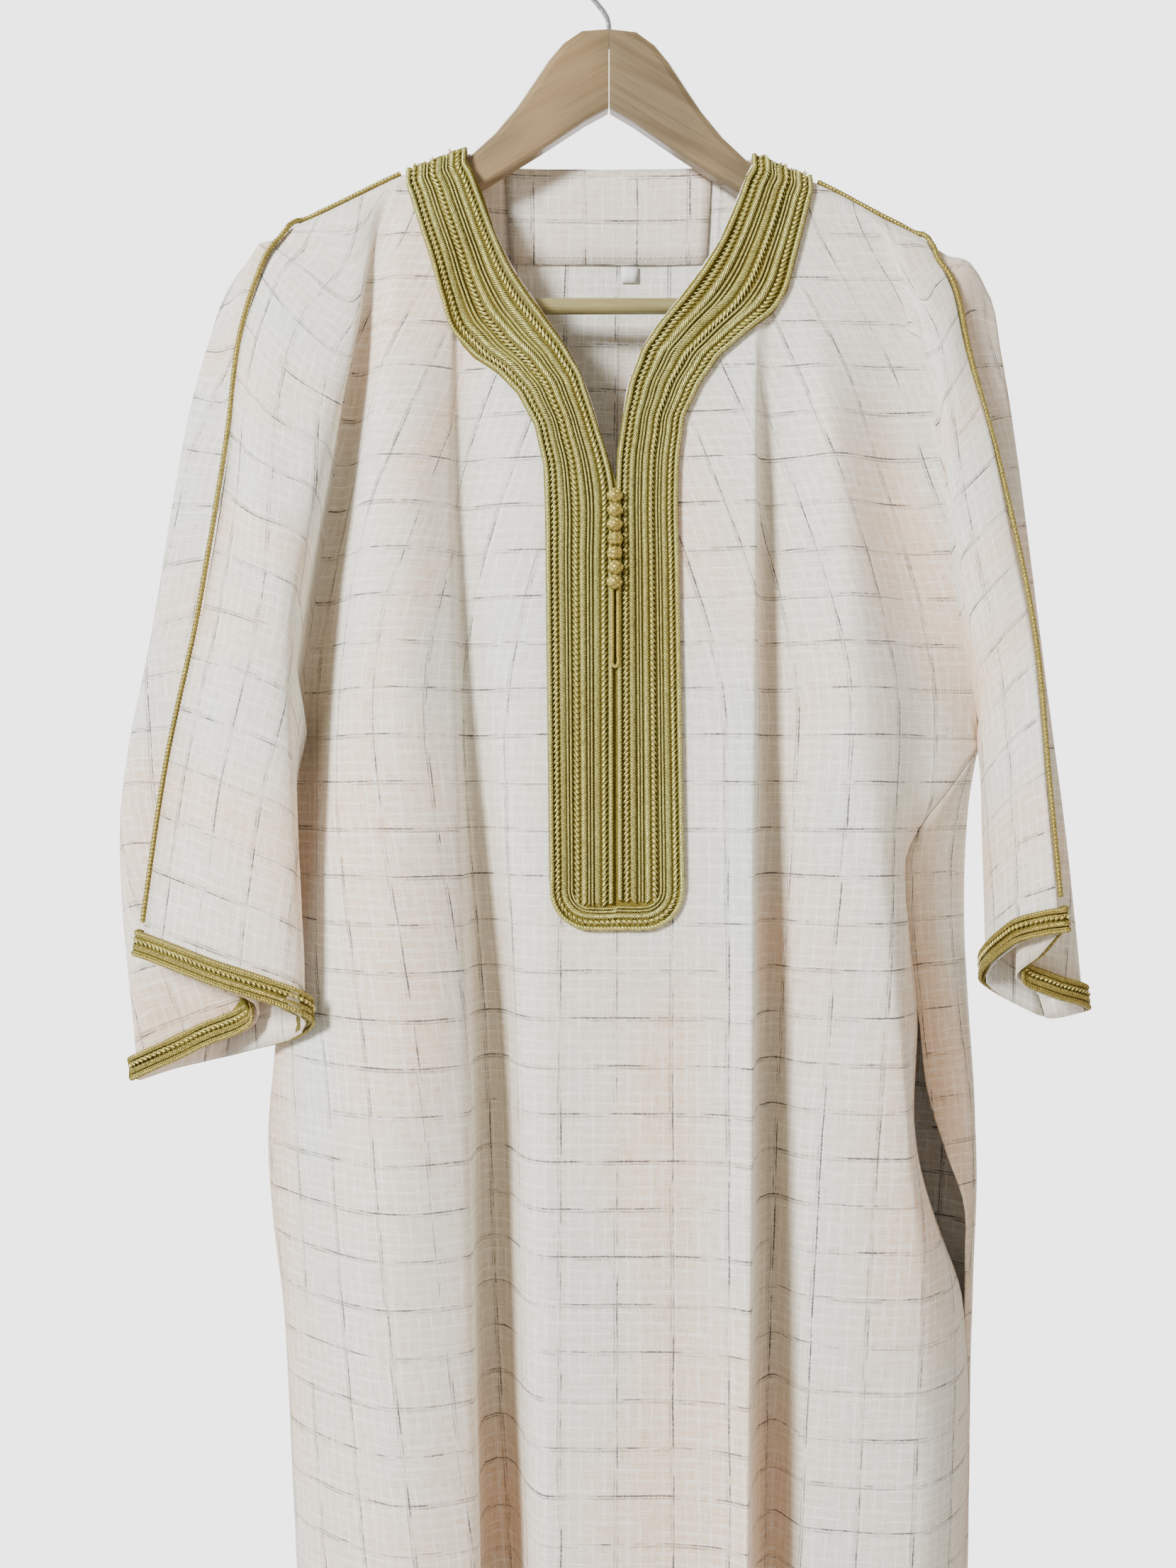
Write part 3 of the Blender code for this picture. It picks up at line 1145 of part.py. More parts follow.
def hook():
    """The wire hook, its inner crest at the origin, stem down into the wood."""
    centre_z = HOOK_WIRE / 2 - HOOK_BEND
    route = [(0, WOOD_TOP_Z - STEM_DEPTH), (0, WOOD_TOP_Z + 3)]
    join = math.radians(HOOK_JOIN_ANGLE)
    end = (HOOK_BEND * math.cos(join), centre_z + HOOK_BEND * math.sin(join))
    start = route[-1]
    for i in range(1, 7):
        t = i / 7
        ease = t * t * (3 - 2 * t)
        route.append((start[0] + (end[0] - start[0]) * ease, start[1] + (end[1] - start[1]) * t))
    for angle in np.linspace(HOOK_JOIN_ANGLE, HOOK_OPEN_ANGLE, 22):
        turn = math.radians(angle)
        route.append((HOOK_BEND * math.cos(turn), centre_z + HOOK_BEND * math.sin(turn)))
    return tube("hanger_hook", [(x, 0, z) for x, z in route], HOOK_WIRE / 2, resolution=3)


def cut(target, cutter):
    """Take a cutter's shape out of a piece."""
    modifier = target.modifiers.new("cut", "BOOLEAN")
    modifier.operation = "DIFFERENCE"
    modifier.object = cutter
    modifier.solver = "MANIFOLD"


def hanger(collection, cutters):
    """Both arms with their sockets, the bar and the hook."""
    side_on = Matrix.Rotation(math.radians(90), 4, "Y")
    bar_y = -math.tan(ARM_FORWARD) * (BAR_HALF - SOCKET_DEEP / 2)
    arms = [hanger_arm("left"), hanger_arm("right")]
    bar = rod("hanger_bar", BAR_RADIUS, 2 * (BAR_HALF - 4), (0, bar_y, BAR_Z), side_on)
    for arm, sign in zip(arms, (-1, 1)):
        hole = rod("bar_hole", BAR_RADIUS + SOCKET_CLEAR, HOLE_LENGTH,
                   (sign * (BAR_HALF - HOLE_LENGTH / 2), bar_y, BAR_Z), side_on)
        stem_hole = rod("stem_hole", HOOK_WIRE / 2 + SOCKET_CLEAR, 2 * STEM_DEPTH + 1,
                        (0, 0, WOOD_TOP_Z), Matrix.Identity(4), sides=HOOK_SIDES)
        for cutter in (hole, stem_hole):
            cutters.objects.link(cutter)
            cutter.hide_render = True
            cutter.display_type = "WIRE"
            cut(arm, cutter)
    for piece in (*arms, bar, hook()):
        collection.objects.link(piece)


def material(name, colour, roughness, metallic=0.0):
    """A Principled material."""
    made = bpy.data.materials.new(name)
    made.use_nodes = True
    shader = made.node_tree.nodes["Principled BSDF"]
    shader.inputs["Base Color"].default_value = (*colour, 1)
    shader.inputs["Roughness"].default_value = roughness
    shader.inputs["Metallic"].default_value = metallic
    return made


def main():
    """Build the whole part."""
    for obj in list(bpy.data.objects):
        bpy.data.objects.remove(obj)
    collection = bpy.data.collections.new("djellaba_on_hanger")
    cutters = bpy.data.collections.new("cutters")
    for made in (collection, cutters):
        bpy.context.scene.collection.children.link(made)

    front_grids, back_grids = panels()
    front_tree = surface_tree([*front_grids[:2], neck_fill()])
    back_tree = surface_tree(back_grids[:1])
    cloth = [wall_mesh("front_panel", front_grids[:2]), wall_mesh("back_panel", back_grids[:2]),
             back_neck_facing(back_tree)]
    for place, side in ((2, "left"), (3, "right")):
        cloth.append(wall_mesh(f"sleeve_{side}_front", [front_grids[place]]))
        cloth.append(wall_mesh(f"sleeve_{side}_back", [back_grids[place]]))
    label = size_label(back_tree)
    gold = [neck_braid(front_tree), placket_loop(front_tree), *knots(front_tree)]
    for side, table in (("left", SLEEVE_LEFT), ("right", SLEEVE_RIGHT)):
        gold.append(cuff_braid(side, table))
        place = 2 if side == "left" else 3
        route = seam_route(side, front_grids[place], back_grids[place])
        gold.append(tube("shoulder_cord_" + side, route, CORD_RADIUS))
    for piece in (*cloth, label, *gold):
        collection.objects.link(piece)
    hanger(collection, cutters)

    looks = {
        "cloth": material("cream_slub_cotton", (0.72, 0.68, 0.62), 0.85),
        "gold": material("gold_braid", (0.50, 0.36, 0.09), 0.45),
        "label": material("white_label", (0.85, 0.85, 0.83), 0.8),
        "wood": material("pale_wood", (0.52, 0.33, 0.16), 0.5),
        "steel": material("steel_wire", (0.6, 0.6, 0.6), 0.3, 1.0),
    }
    for piece in cloth:
        piece.data.materials.append(looks["cloth"])
    for piece in gold:
        piece.data.materials.append(looks["gold"])
    label.data.materials.append(looks["label"])
    for piece in collection.objects:
        if piece.name.startswith("hanger_"):
            look = looks["steel"] if piece.name == "hanger_hook" else looks["wood"]
            piece.data.materials.append(look)


main()
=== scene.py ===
# %% [markdown]
# A short-sleeved robe of cream slub cloth hangs on a wooden hanger, with gold braid round the
# neck, down the placket and on the cuffs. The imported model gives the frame: every piece here
# sits where its solid is, and replaces it with finer cloth, braid and cord.

import json
import math
import random
from collections import namedtuple

import bmesh
import bpy
import numpy as np
from mathutils import Matrix, Vector
from mathutils import noise as swell_noise
from mathutils.bvhtree import BVHTree
from mathutils.kdtree import KDTree

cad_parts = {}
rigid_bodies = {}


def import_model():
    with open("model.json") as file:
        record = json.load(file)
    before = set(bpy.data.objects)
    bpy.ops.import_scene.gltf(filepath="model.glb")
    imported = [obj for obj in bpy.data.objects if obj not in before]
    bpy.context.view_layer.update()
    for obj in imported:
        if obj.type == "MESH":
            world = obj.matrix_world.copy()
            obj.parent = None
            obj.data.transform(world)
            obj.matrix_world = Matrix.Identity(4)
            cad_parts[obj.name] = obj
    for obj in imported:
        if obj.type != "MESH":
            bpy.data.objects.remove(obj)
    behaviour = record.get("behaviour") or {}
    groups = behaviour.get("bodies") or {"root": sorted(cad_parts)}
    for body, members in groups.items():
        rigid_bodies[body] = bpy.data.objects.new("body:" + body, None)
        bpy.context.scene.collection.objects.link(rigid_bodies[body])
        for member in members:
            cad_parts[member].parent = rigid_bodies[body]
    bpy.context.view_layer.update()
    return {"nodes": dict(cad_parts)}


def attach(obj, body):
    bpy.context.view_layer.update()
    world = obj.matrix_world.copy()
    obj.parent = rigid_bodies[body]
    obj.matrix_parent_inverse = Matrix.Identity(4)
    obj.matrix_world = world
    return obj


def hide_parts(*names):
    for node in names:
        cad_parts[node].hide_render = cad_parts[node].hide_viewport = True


for thing in list(bpy.data.objects):
    bpy.data.objects.remove(thing)
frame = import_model()
MM = 0.001
draw = random.Random(7)

# %% [markdown]
# The camera comes first, because the framing decides how fine each piece has to be. It looks
# straight at the robe from a little under a metre, the way a shopper would photograph it, so the
# hem hangs below the picture. Soft studio light comes from a large lamp at the upper left.

# %% Camera, floor and light
scene = bpy.context.scene
eye = bpy.data.cameras.new("camera")
eye.sensor_fit = "VERTICAL"
eye.sensor_height = 36.0
eye.sensor_width = 27.0
eye.lens = 2100 / 2212 * 36     # a phone's main camera: 2100 pixels of focal length in 2212 of height
eye.clip_start = 0.01
camera = bpy.data.objects.new("camera", eye)
camera.location = (-0.01264, -0.90, -0.5136)
camera.rotation_euler = (math.radians(90), 0, 0)
scene.collection.objects.link(camera)
scene.camera = camera


def area_light(name, place, target, size, power, colour):
    """A square soft lamp at a place, turned to a target."""
    lamp = bpy.data.lights.new(name, "AREA")
    lamp.size = size
    lamp.energy = power
    lamp.color = colour
    obj = bpy.data.objects.new(name, lamp)
    obj.location = place
    obj.rotation_euler = (Vector(target) - Vector(place)).to_track_quat("-Z", "Y").to_euler()
    scene.collection.objects.link(obj)


MIDDLE = (0, 0, -0.55)      # what the lamps are turned to
area_light("key", (-1.65, -1.97, 0.5), MIDDLE, 0.6, 160, (0.98, 1.0, 0.995))
area_light("cool_side", (-2.4, 0.1, -0.5), MIDDLE, 1.0, 9, (0.74, 0.87, 1.0))
area_light("warm_side", (2.0, -1.3, -0.7), MIDDLE, 1.0, 13, (1.0, 0.72, 0.46))

ROOM = (0.47, 0.44, 0.385, 1)            # light of the studio all round
WALL_BEHIND = (3.5, 3.44, 3.47, 1)      # and of its pale wall behind the robe
world = bpy.data.worlds.new("studio")
world.use_nodes = True
sky = world.node_tree
way = sky.nodes.new("ShaderNodeTexCoord")
parts = sky.nodes.new("ShaderNodeSeparateXYZ")
behind = sky.nodes.new("ShaderNodeMapRange")
behind.interpolation_type = "SMOOTHSTEP"
behind.inputs["From Min"].default_value = 0.45
behind.inputs["From Max"].default_value = 0.75
studio = sky.nodes.new("ShaderNodeMix")
studio.data_type = "RGBA"
studio.inputs[6].default_value = ROOM
studio.inputs[7].default_value = WALL_BEHIND
sky.links.new(way.outputs["Generated"], parts.inputs[0])
sky.links.new(parts.outputs["Y"], behind.inputs["Value"])
sky.links.new(behind.outputs[0], studio.inputs[0])
sky.links.new(studio.outputs[2], sky.nodes["Background"].inputs["Color"])
scene.world = world

FLOOR_Z = -1.62
FLOOR_HALF = 1.1
floor_mesh = bpy.data.meshes.new("floor")
corners = [(x * FLOOR_HALF, y * FLOOR_HALF, FLOOR_Z) for x, y in ((-1, -1), (1, -1), (1, 1), (-1, 1))]
floor_mesh.from_pydata(corners, [], [(0, 1, 2, 3)])
floor = bpy.data.objects.new("floor", floor_mesh)
scene.collection.objects.link(floor)
print("camera lens", round(eye.lens, 2))

# %% [markdown]
# The robe's cloth falls in long folds. Each fold is a curve from the shoulder or neck to the
# hem, and a row across the cloth is a smooth curve through all the folds at one height. A
# cloth simulation would find its own folds, so these lines are given in millimetres,
# where the real robe has them, and a skin is lofted through them.

# %% Sizes of the cloth and its fold lines
WALL = 1.2              # thickness of the solid's panels
SEAM_PULL = 0.45        # how far each edge of a seam stands back from the seam line
UNDERARM_Z = -490.0     # height where sleeve and side seam part
HEM_Z = -1500.0
SLIT = (-648.0, -842.0)  # top and foot of the side slits
SLIT_LEFT_GAPE = 9.0    # how far the left slit stands open
ARM_CLEAR = 0.7         # clear space between a board of the hanger and the cloth over it
HANGER_TILT = 0.02      # the hanger hangs a little lower on the right
ARM_FORWARD = math.radians(3.0)   # each half is turned forward

PLACKET_HEIGHTS = (-385, -435, -485, -535, -568)
PLACKET_MIDDLE = 3.0

Fold = namedtuple("Fold", "name soft top path")
Knot = namedtuple("Knot", "z x y")
BraidRow = namedtuple("BraidRow", "out_x out_z in_x in_z")


def fold(name, soft, top, *knots):
    """A fold line: how round it is, where it starts (x, z) and its knots (z, x, y) below."""
    return Fold(name, soft, top, tuple(Knot(*k) for k in knots))


def spline(keys, values, at):
    """Smooth value at `at` through (key, value) pairs, keys rising."""
    keys = np.asarray(keys, float)
    values = np.asarray(values, float)
    at = min(max(at, keys[0]), keys[-1])
    i = int(min(max(np.searchsorted(keys, at, "right") - 1, 0), len(keys) - 2))
    slope = np.gradient(values, keys, axis=0) if len(keys) > 2 else None
    h = keys[i + 1] - keys[i]
    t = (at - keys[i]) / h
    if slope is None:
        return values[i] + (values[i + 1] - values[i]) * t
    a, b = values[i], values[i + 1]
    m, n = slope[i] * h, slope[i + 1] * h
    return ((2 * t**3 - 3 * t**2 + 1) * a + (t**3 - 2 * t**2 + t) * m
            + (-2 * t**3 + 3 * t**2) * b + (t**3 - t**2) * n)


# Shoulder line: the top of the hanger arms with the cloth on them
SHOULDER = ((84, -136), (121, -150.5), (163, -172.5), (189, -186), (206, -197), (217, -207))


def ridge(x):
    """Middle of the cloth on top of the hanger arm at x."""
    away = abs(x)
    z = spline([p[0] for p in SHOULDER], [p[1] for p in SHOULDER], away)
    return np.array([x, -math.tan(ARM_FORWARD) * away, z - HANGER_TILT * x])


# Neck braid: stations down each side, outer and inner edge
BRAID_LEFT = (
    BraidRow(-118.5, -165, -80.5, -151), BraidRow(-114, -180, -76, -163), BraidRow(-106, -205, -66, -190),
    BraidRow(-100, -229, -57, -210), BraidRow(-93, -249, -45, -229), BraidRow(-80, -263, -34, -245),
    BraidRow(-66, -273, -25, -258), BraidRow(-54, -286, -16, -274), BraidRow(-44, -305, -9, -296),
    BraidRow(-39, -328, -2, -318), BraidRow(-38, -352, 3, -339),
)
BRAID_RIGHT = (
    BraidRow(119, -170, 80.5, -154), BraidRow(116, -182, 76, -166), BraidRow(110, -205, 64, -194),
    BraidRow(105, -224, 53, -212), BraidRow(96, -238, 40, -230), BraidRow(81, -250, 28, -245),
    BraidRow(65, -264, 18, -260), BraidRow(53, -281, 11, -279), BraidRow(44, -300, 7, -299),
    BraidRow(41, -322, 4, -320), BraidRow(40, -345, 3, -339),
)


def neck_height(x):
    """Height of the neck's inner edge at x."""
    rows = BRAID_LEFT if x < PLACKET_MIDDLE else BRAID_RIGHT
    points = sorted((abs(r.in_x - PLACKET_MIDDLE), r.in_z) for r in rows)
    return float(np.interp(abs(x - PLACKET_MIDDLE), [p[0] for p in points], [p[1] for p in points]))


# Front folds from the middle out: name, softness, x at the top, then z, x, y down the robe
FRONT_MIDDLE = fold("middle", 0.3, 3, (-330, 3, -31), (-490, 3, -41), (-650, 3, -50), (-830, 3, -55),
                    (-1000, 3, -58), (-1500, 3, -60))
FRONT_LEFT = (
    fold("neck_a", 1, -9, (-300, -9, -31), (-490, -12, -41), (-650, -12, -50), (-830, -12, -55),
         (-1000, -12, -58), (-1500, -13, -60)),
    fold("neck_b", 1, -20, (-270, -20, -30), (-490, -24, -41), (-650, -24, -50), (-830, -24, -55),
         (-1000, -25, -58), (-1500, -27, -59)),
    fold("placket", 1, -40, (-240, -40, -29), (-300, -40, -32), (-490, -40, -41), (-650, -37, -50),
         (-830, -36, -54), (-1000, -38, -57), (-1500, -42, -57)),
    fold("rise", 1, -58, (-210, -58, -24), (-300, -62, -29), (-490, -60, -36), (-650, -49, -44),
         (-830, -46, -46), (-1000, -44, -46), (-1500, -46, -44)),
    fold("deep", 1, -74, (-165, -75, -15), (-220, -82, -21), (-300, -86, -21), (-490, -82, -22),
         (-650, -71, -15), (-830, -69, -10), (-1000, -66, -5), (-1500, -66, 2)),
    fold("edge", 0.35, -88, (-140, -88, -13), (-200, -92, -21), (-300, -94, -27), (-490, -89, -38),
         (-650, -83, -48), (-830, -79, -54), (-1000, -74, -59), (-1500, -72, -63)),
    fold("crown", 1, -103, (-150, -104, -14), (-220, -107, -25), (-300, -112, -37), (-490, -120, -53),
         (-650, -124, -62), (-830, -124, -66), (-1000, -122, -68), (-1500, -122, -74)),
    fold("flank", 0.7, -121, (-160, -121, -14), (-210, -125, -25), (-300, -135, -36), (-400, -143, -42),
         (-490, -151, -42), (-590, -163, -36), (-650, -170, -33), (-830, -172, -34),
         (-1000, -170, -36), (-1500, -172, -40)),
    fold("valley", 1, -127, (-160, -127, -15), (-210, -136, -19), (-240, -142, -19), (-300, -152, -10),
         (-400, -167, -4), (-490, -176, -1), (-590, -184, -6), (-650, -192, -8), (-830, -191, -12),
         (-1000, -184, -16), (-1500, -188, -18)),
)
UNDERARM_LEFT = fold("underarm", 1, -132, (-162, -132, -15), (-210, -143, -19), (-240, -150, -19),
                     (-300, -160, -13), (-400, -177, -2), (-490, -189, 6))
FRONT_RIGHT = (
    fold("neck_a", 1, 10, (-300, 11, -31), (-490, 14, -41), (-650, 14, -50), (-830, 15, -55),
         (-1000, 15, -58), (-1500, 15, -60)),
    fold("neck_b", 1, 21, (-270, 22, -30), (-490, 28, -41), (-650, 29, -50), (-830, 30, -55),
         (-1000, 31, -58), (-1500, 32, -60)),
    fold("placket", 1, 42, (-240, 42, -29), (-300, 43, -33), (-490, 44, -42), (-650, 46, -51),
         (-830, 48, -56), (-1000, 50, -59), (-1500, 52, -60)),
    fold("panel", 1, 62, (-210, 62, -24), (-300, 66, -35), (-490, 66, -46), (-650, 66, -55),
         (-830, 65, -60), (-1000, 64, -62), (-1500, 62, -65)),
    fold("edge", 0.3, 77, (-165, 77, -16), (-230, 83, -27), (-300, 84, -37), (-490, 82, -50),
         (-650, 80, -60), (-830, 78, -66), (-1000, 76, -69), (-1500, 74, -73)),
    fold("deep", 1, 89, (-150, 89, -15), (-230, 92, -26), (-270, 92, -27), (-330, 92, -25), (-490, 92, -26),
         (-650, 93, -23), (-830, 94, -19), (-1000, 94, -15), (-1500, 95, -8)),
    fold("rise", 1, 99, (-155, 99, -15), (-230, 105, -25.5), (-300, 107, -31), (-490, 110, -38),
         (-650, 113, -40), (-830, 115, -40), (-1000, 114, -38), (-1500, 114, -32)),
    fold("crown", 0.6, 112, (-160, 112, -16), (-245, 122, -28), (-300, 127, -41), (-390, 138, -48),
         (-490, 145, -53), (-590, 155, -53), (-663, 164, -50), (-730, 170, -48), (-800, 176, -46),
         (-1000, 172, -44), (-1500, 172, -44)),
    fold("flank", 1, 132, (-170, 134, -17), (-245, 156, -24), (-300, 162, -26), (-390, 174, -26),
         (-490, 187, -26), (-540, 172, -36), (-590, 170, -40), (-650, 176, -34), (-720, 178, -30),
         (-800, 197, -26), (-1000, 200, -24), (-1500, 200, -22)),
)
UNDERARM_RIGHT = fold("underarm", 0.7, 150, (-185, 160, -17), (-240, 180, -25), (-300, 190, -30),
                      (-400, 203, -26), (-490, 223, -8))

# Side seams below the underarm
SIDE_LEFT = ((-490, -189, 6), (-540, -196, 8), (-600, -201, 9), (-671, -203, 9), (-731, -208, 9),
             (-774, -205, 9), (-837, -197, 9), (-900, -193, 9), (-993, -187, 8), (-1500, -190, 6))
SIDE_RIGHT = ((-490, 223, -8), (-519, 199, -18), (-540, 182, -24), (-558, 173, -27),
              (-595, 176, -24), (-648, 182, -20), (-718, 181, -18), (-746, 186, -15),
              (-785, 199, -9), (-817, 211, -3), (-850, 216, 3), (-1000, 216, 5), (-1500, 213, 5))
# The back edge of the right slit, from its top to its foot
SLIT_BACK_RIGHT = ((-648, 183, -19), (-700, 190, -14), (-734, 202, -8), (-770, 215, -1),
                   (-800, 215, 1), (-842, 215, 2))

# Back folds from the right side to the left one: z, x, y
BACK_UNDERARM_RIGHT = fold("back_arm_right", 1, 150, (-185, 160, 6), (-240, 175, 14), (-300, 190, 20),
                           (-400, 206, 16), (-490, 223, -8))
BACK_UNDERARM_LEFT = fold("back_arm_left", 1, -132, (-162, -134, 3), (-220, -146, 15), (-300, -162, 24),
                          (-400, -180, 24), (-490, -189, 6))
BACK = (
    fold("wrap_right", 0.8, 138, (-180, 145, 8), (-240, 166, 20), (-300, 182, 28), (-400, 204, 26),
         (-490, 221, 4), (-519, 219, 6), (-560, 217, 9), (-600, 217, 10), (-650, 220, 12),
         (-730, 225, 13), (-812, 222, 13), (-1000, 219, 14), (-1500, 216, 14)),
    fold("flute_1", 1, 124, (-165, 128, 8), (-240, 150, 22), (-300, 168, 34), (-400, 186, 42),
         (-490, 192, 38), (-600, 190, 38), (-800, 188, 40), (-1000, 184, 42), (-1500, 182, 46)),
    fold("hollow_1", 1, 112, (-158, 114, 8), (-240, 128, 14), (-300, 136, 18), (-400, 142, 22),
         (-600, 146, 24), (-800, 144, 26), (-1000, 142, 26), (-1500, 140, 24)),
    fold("flute_2", 1, 96, (-150, 97, 9), (-240, 100, 20), (-300, 102, 28), (-400, 104, 36),
         (-600, 104, 44), (-800, 102, 50), (-1000, 100, 54), (-1500, 98, 60)),
    fold("neck_right", 1, 85, (-142, 85, 8), (-240, 84, 21), (-400, 84, 32), (-600, 84, 37),
         (-1000, 82, 42), (-1500, 80, 46)),
    fold("hollow_2", 1, 60, (-150, 62, 14), (-240, 62, 18), (-300, 62, 22), (-400, 60, 25),
         (-600, 60, 28), (-800, 58, 30), (-1000, 58, 30), (-1500, 58, 30)),
    fold("flute_3", 1, 24, (-145, 24, 17), (-240, 22, 22), (-300, 22, 30), (-400, 20, 38),
         (-600, 18, 46), (-800, 16, 52), (-1000, 16, 56), (-1500, 14, 60)),
    fold("hollow_3", 1, -18, (-145, -18, 17), (-240, -20, 19), (-300, -22, 23), (-400, -24, 26),
         (-600, -26, 28), (-800, -28, 28), (-1000, -28, 28), (-1500, -30, 28)),
    fold("flute_4", 1, -62, (-150, -62, 14), (-240, -64, 22), (-300, -66, 30), (-400, -70, 38),
         (-600, -74, 46), (-800, -76, 52), (-1000, -76, 54), (-1500, -78, 60)),
    fold("neck_left", 1, -85, (-142, -85, 8), (-240, -86, 20), (-400, -92, 32), (-600, -96, 36),
         (-1000, -98, 40), (-1500, -100, 42)),
    fold("hollow_4", 1, -97, (-150, -97, 9), (-240, -102, 17), (-300, -106, 22), (-400, -112, 26),
         (-600, -116, 28), (-800, -118, 28), (-1000, -116, 28), (-1500, -118, 26)),
    fold("flute_5", 1, -116, (-160, -118, 8), (-240, -130, 22), (-300, -138, 32), (-400, -148, 42),
         (-490, -156, 44), (-600, -162, 44), (-800, -162, 46), (-1000, -156, 48), (-1500, -160, 50)),
    fold("wrap_left", 1, -125, (-164, -128, 6), (-240, -144, 20), (-300, -154, 30), (-400, -172, 38),
         (-490, -184, 28), (-600, -194, 28), (-730, -200, 29), (-812, -196, 30), (-1000, -181, 30),
         (-1500, -184, 30)),
)
BACK_NECK_RISE = -135.0   # height of the fold across the back neck

# Sleeve folds: softness, then x, y, z at eight stations from shoulder to cuff
SLEEVE_LEFT = {
    "crease": (1, (-183, None, None), (-194, -18, -191.5), (-203, -21, -206), (-216, -23, -252),
               (-223, -27, -317), (-238, -30, -410), (-258, -30, -505), (-274, -30, -614)),
    "middle": (1, (-168, None, None), (-172, -23, -203), (-182, -30, -232), (-192, -37, -280),
               (-200, -42, -338), (-212, -46, -418), (-219, -52, -519), (-226, -52, -628)),
    "inner": (0.8, (-150, None, None), (-150, -25, -211), (-151, -32, -255), (-160, -38, -300),
              (-171, -44, -352), (-184, -45, -432), (-179, -50, -540), (-174, -50, -650)),
    "under": (1, (-189, 6, -490), (-216, 11, -574), (-234, 10, -680)),
    "far": (1, (-143, None, None), (-164, 9, -202), (-188, 6, -232), (-208, 10, -282),
            (-222, 14, -340), (-240, 14, -430), (-262, 13, -560), (-266, 12, -688)),
    "outer": (1, (-156, None, None), (-186, 3, -190), (-223, -6, -212), (-241, -4, -252),
              (-256, -2, -310), (-275, -1, -425), (-295, -1, -540), (-284, -1, -692)),
    "near": (1, (-168, None, None), (-195, -3, -189), (-217, -8, -202), (-233, -8, -252),
             (-244, -9, -312), (-256, -10, -418), (-262, -11, -535), (-244, -8, -672)),
    "turn": (1, (-183, None, None), (-201, -10, -190.5), (-212, -13, -198), (-225, -12, -251),
             (-230, -13, -315), (-228, -17, -414), (-220, -18, -526), (-207, -20, -649)),
    "back_fold": (1, (-183, None, None), (-199, -14.5, -190), (-208, -18, -200), (-219, -17, -252),
                  (-225, -20, -316), (-233, -24, -412), (-238, -25, -515), (-239, -28, -631)),
}
SLEEVE_RIGHT = {
    "crease": (1, (184, None, None), (194, -19, -204), (203, -22, -224), (210, -27, -265),
               (225, -36, -332), (242, -44, -425), (249, -49, -512), (256, -53, -598)),
    "middle": (1, (172, None, None), (185, -23, -208), (196, -27, -233), (202, -34, -280),
               (212, -38, -345), (229, -38, -440), (236, -34, -524), (237, -35, -607)),
    "inner": (0.8, (161, None, None), (175, -25, -214), (190, -29, -244), (195, -34, -292),
              (201, -34, -358), (218, -24, -460), (225, -4, -550), (231, 9, -635)),
    "under": (1, (223, -8, -490), (245, 17, -575), (270, 22, -658)),
    "far": (1, (157, None, None), (177, 10, -209), (202, 10, -238), (218, 12, -286),
            (232, 14, -345), (248, 14, -450), (268, 16, -550), (281, 17, -657)),
    "outer": (1, (164, None, None), (190, 3, -200), (225, -6, -220), (236, -4, -258),
              (247, -1, -325), (261, 0, -435), (275, 0, -537), (287, 1, -650)),
    "near": (1, (171, None, None), (197, -3, -198), (222, -10.5, -212), (228, -10, -258),
             (237, -14, -326), (251, -15, -434), (259, -16, -536), (261, -16, -640)),
    "turn": (1, (184, None, None), (200, -10, -197.8), (216, -15, -208), (218, -17, -260),
             (227, -23, -330), (239, -26, -432), (241, -26, -532), (239, -25, -628)),
    "back_fold": (1, (184, None, None), (198, -14.5, -199.5), (209, -19, -213), (213, -23, -262),
                  (226, -30, -331), (242, -36, -428), (245, -38, -522), (248, -40, -613)),
}
UNDERARM_STATION = 5
LAST_STATION = 7


# %% Rows and columns of the skin
def finer(values, step):
    """The same rising values with more between them, no further apart than the step."""
    out = [values[0]]
    for a, b in zip(values, values[1:]):
        count = max(1, math.ceil((b - a) / step))
        out += [a + (b - a) * (k + 1) / count for k in range(count)]
    return out


def in_step(values, parts):
    """Each stretch between two values cut into the same number of parts."""
    return [a + (b - a) * k / parts for a, b in zip(values, values[1:]) for k in range(parts)] + [values[-1]]


UPPER_PARTS = 3
UPPER_ROWS = in_step((0, 0.004, 0.014, 0.036, 0.07, 0.12, 0.19, 0.30, 0.45, 0.62, 0.81, 1), UPPER_PARTS)
NECK_ROWS = in_step((0, 0.03, 0.065, 0.11, 0.16, 0.22, 0.29, 0.38, 0.51, 0.66, 0.83, 1), UPPER_PARTS)
UPPER_STATIONS = in_step((0, 0.3, 0.6, 0.85, 1.1, 1.4, 1.8, 2.4, 3.1, 3.8, 4.4, 5), UPPER_PARTS)
LOWER_ROWS = finer((0, 0.03, 0.068, 0.11, 0.156, 0.21, 0.26, 0.30, 0.349, 0.45, 0.7, 1), 0.012)[1:]
SLEEVE_ROWS = finer((0, 0.15, 0.35, 0.58, 0.8, 1), 0.06)[1:]
SLEEVE_SUB = 5
SUB = 5                 # columns of the skin in each stretch between two folds
TURN = 12.0             # how far the cloth turns over the board before it hangs
print("rows", len(UPPER_ROWS) + len(LOWER_ROWS))


def fold_at(line, z):
    """Point of a fold at height z."""
    knots = sorted(line.path)
    z_used = min(max(z, knots[0].z), knots[-1].z)
    x, y = spline([k.z for k in knots], [(k.x, k.y) for k in knots], z_used)
    return np.array([x, y, z])


